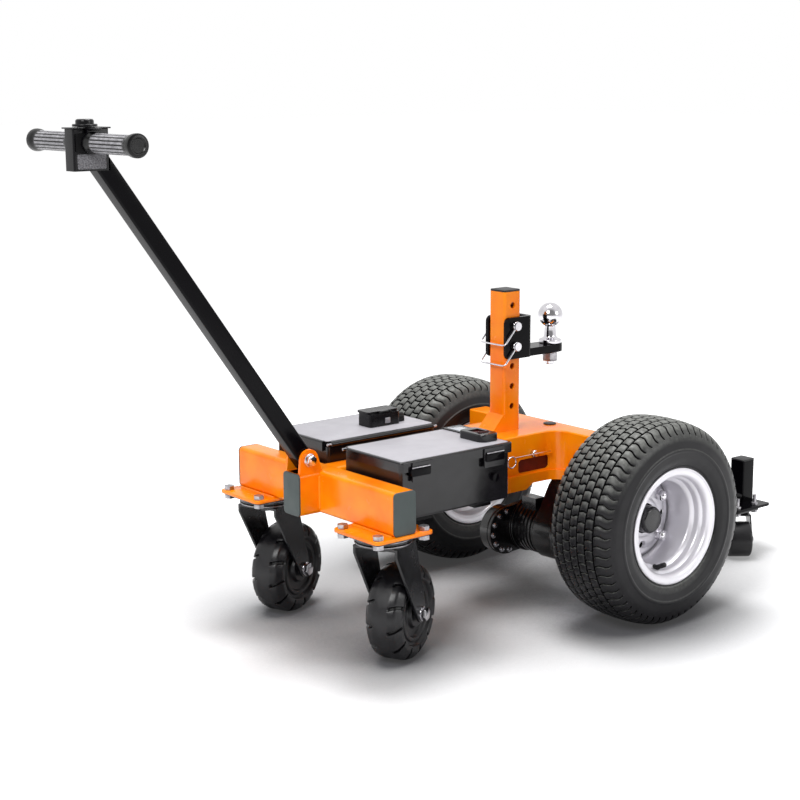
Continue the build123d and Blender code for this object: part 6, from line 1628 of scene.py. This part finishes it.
@dataclass
class Studio:
    """The floor, the lamps, the surroundings and the camera."""

    camera_at: tuple[float, float, float] = (-2.09212, -2.41636, 1.06434)
    camera_right: tuple[float, float, float] = (0.77653991, -0.63004414, -0.0054912)
    camera_up: tuple[float, float, float] = (0.12710995, 0.14811719, 0.98076723)
    camera_forward: tuple[float, float, float] = (0.6171133, 0.76230288, -0.19510379)
    lens: float = 74.188
    sensor: float = 36.0
    floor_reach: float = 30.0
    floor_shade: tuple[float, float, float, float] = (0.08, 0.08, 0.09, 1.0)
    floor_paper: tuple[float, float, float, float] = (0.84, 0.84, 0.85, 1.0)
    contact: float = 0.3             # metres within which a wheel darkens the floor with painted contact shadow
    room_light: float = 0.26

    def floor(self) -> None:
        """A pale floor: it takes the shadow, its colour darkens near the wheels as painted contact shadow,
        and a share of white for the eye grows away from the object.
        """
        mesh = bpy.data.meshes.new("studio_floor")
        reach = self.floor_reach
        mesh.from_pydata([(-reach, -reach, 0), (reach, -reach, 0), (reach, reach, 0), (-reach, reach, 0)], [],
                         [(0, 1, 2, 3)])
        floor = bpy.data.objects.new("studio_floor", mesh)
        bpy.context.scene.collection.objects.link(floor)
        material = bpy.data.materials.new("matt_backdrop_paper")
        material.use_nodes = True
        tree = material.node_tree
        tree.nodes.clear()
        # Painted contact shadow: ambient occlusion mixes the paper's colour towards floor_shade where wheels
        # are near.
        near = add_node(tree, "ShaderNodeAmbientOcclusion", {"Distance": self.contact}, samples=16)
        depth = add_node(tree, "ShaderNodeMapRange", {"From Min": 0.45, "From Max": 0.96},
                         {"Value": near.outputs["AO"]})
        shade = add_node(tree, "ShaderNodeMix", {6: self.floor_shade, 7: self.floor_paper},
                         {0: depth.outputs["Result"]}, data_type="RGBA")
        paper = add_node(tree, "ShaderNodeBsdfDiffuse", links={"Color": shade.outputs[2]})
        spot = add_node(tree, "ShaderNodeTexCoord")
        away = add_node(tree, "ShaderNodeVectorMath", links={0: spot.outputs["Object"]}, operation="LENGTH")
        glow = add_node(tree, "ShaderNodeMapRange",
                        {"From Min": 0.45, "From Max": 1.15, "To Min": 0.04, "To Max": 0.8},
                        {"Value": away.outputs["Value"]}, interpolation_type="SMOOTHSTEP")
        light = add_node(tree, "ShaderNodeEmission", {"Color": WHITE}, {"Strength": glow.outputs["Result"]})
        both = add_node(tree, "ShaderNodeAddShader", links={0: paper.outputs[0], 1: light.outputs[0]})
        mix = add_node(tree, "ShaderNodeMixShader",
                       links={0: seen_directly(tree), 1: paper.outputs[0], 2: both.outputs[0]})
        add_node(tree, "ShaderNodeOutputMaterial", links={"Surface": mix.outputs[0]})
        mesh.materials.append(material)

    def surroundings(self) -> None:
        """White to the eye and to gloss, dimmer on the camera's side, and plain soft light on the object."""
        world = bpy.data.worlds.new("white_studio")
        bpy.context.scene.world = world
        world.use_nodes = True
        tree = world.node_tree
        tree.nodes.clear()
        plain = add_node(tree, "ShaderNodeBackground", {"Color": WHITE, "Strength": self.room_light})
        spot = add_node(tree, "ShaderNodeTexCoord")
        facing = add_node(tree, "ShaderNodeVectorMath", {1: [-v for v in self.camera_forward]},
                          {0: spot.outputs["Generated"]}, operation="DOT_PRODUCT")
        room = add_node(tree, "ShaderNodeMapRange",
                        {"From Min": 0.45, "From Max": 0.85, "To Min": 1.0, "To Max": 0.3},
                        {"Value": facing.outputs["Value"]}, interpolation_type="SMOOTHSTEP")
        white = add_node(tree, "ShaderNodeBackground", {"Color": WHITE}, {"Strength": room.outputs["Result"]})
        mix = add_node(tree, "ShaderNodeMixShader",
                       links={0: seen_directly(tree), 1: plain.outputs[0], 2: white.outputs[0]})
        add_node(tree, "ShaderNodeOutputWorld", links={"Surface": mix.outputs[0]})

    def lamp(self, name: str, at: tuple[float, float, float], aim: tuple[float, float, float], size: float,
             power: float) -> None:
        """A square soft box.

        Args:
            name: the lamp's name.
            at: where it stands, in metres.
            aim: the point that it looks at.
            size: length of its side in metres.
            power: its watts.
        """
        data = bpy.data.lights.new(name, "AREA")
        data.size = size
        data.energy = power
        made = bpy.data.objects.new(name, data)
        bpy.context.scene.collection.objects.link(made)
        made.location = at
        made.rotation_euler = (Vector(aim) - Vector(at)).to_track_quat("-Z", "Y").to_euler()

    def camera(self) -> None:
        """The camera, worked out from the photograph's own vanishing lines."""
        data = bpy.data.cameras.new("photo_camera")
        data.lens = self.lens
        data.sensor_width = self.sensor
        made = bpy.data.objects.new("photo_camera", data)
        bpy.context.scene.collection.objects.link(made)
        back = [-v for v in self.camera_forward]
        columns = zip(self.camera_right, self.camera_up, back, self.camera_at)
        made.matrix_world = Matrix([list(row) for row in columns] + [[0.0, 0.0, 0.0, 1.0]])
        bpy.context.scene.camera = made

    def build(self) -> None:
        """Sets up the whole studio."""
        self.floor()
        self.surroundings()
        self.lamp("key_soft_box", (-2.6, -1.2, 2.6), (0.0, 0.0, 0.3), 1.2, 84.0)
        self.lamp("top_soft_box", (0.2, 0.35, 3.0), (0.05, 0.0, 0.2), 1.1, 56.0)
        self.lamp("side_soft_box", (1.4, -3.0, 1.6), (0.2, 0.0, 0.3), 1.2, 26.0)
        self.camera()
        bpy.context.scene.view_settings.view_transform = "Standard"


def main() -> None:
    """Builds the studio and the sub-assemblies in order."""
    logging.basicConfig(level=logging.INFO, format="%(name)s %(message)s")
    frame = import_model()
    shop = Workshop(frame["nodes"])
    Studio().build()
    # A caster's second value is its heading in degrees, as the photograph shows it at rest.
    assemblies = [
        FrontFrame(),
        Caster(Side.NEAR, 25.0), Caster(Side.FAR, 22.0),
        RearCaster(Side.NEAR, 231.5), RearCaster(Side.FAR, 205.0),
        DriveWheel(Side.NEAR), DriveWheel(Side.FAR),
        PowerBay(), Tiller(), Hitch(), Driveline(),
    ]
    for assembly in assemblies:
        LOG.info("building %s", type(assembly).__name__)
        assembly.build(shop)


if __name__ == "__main__":
    main()
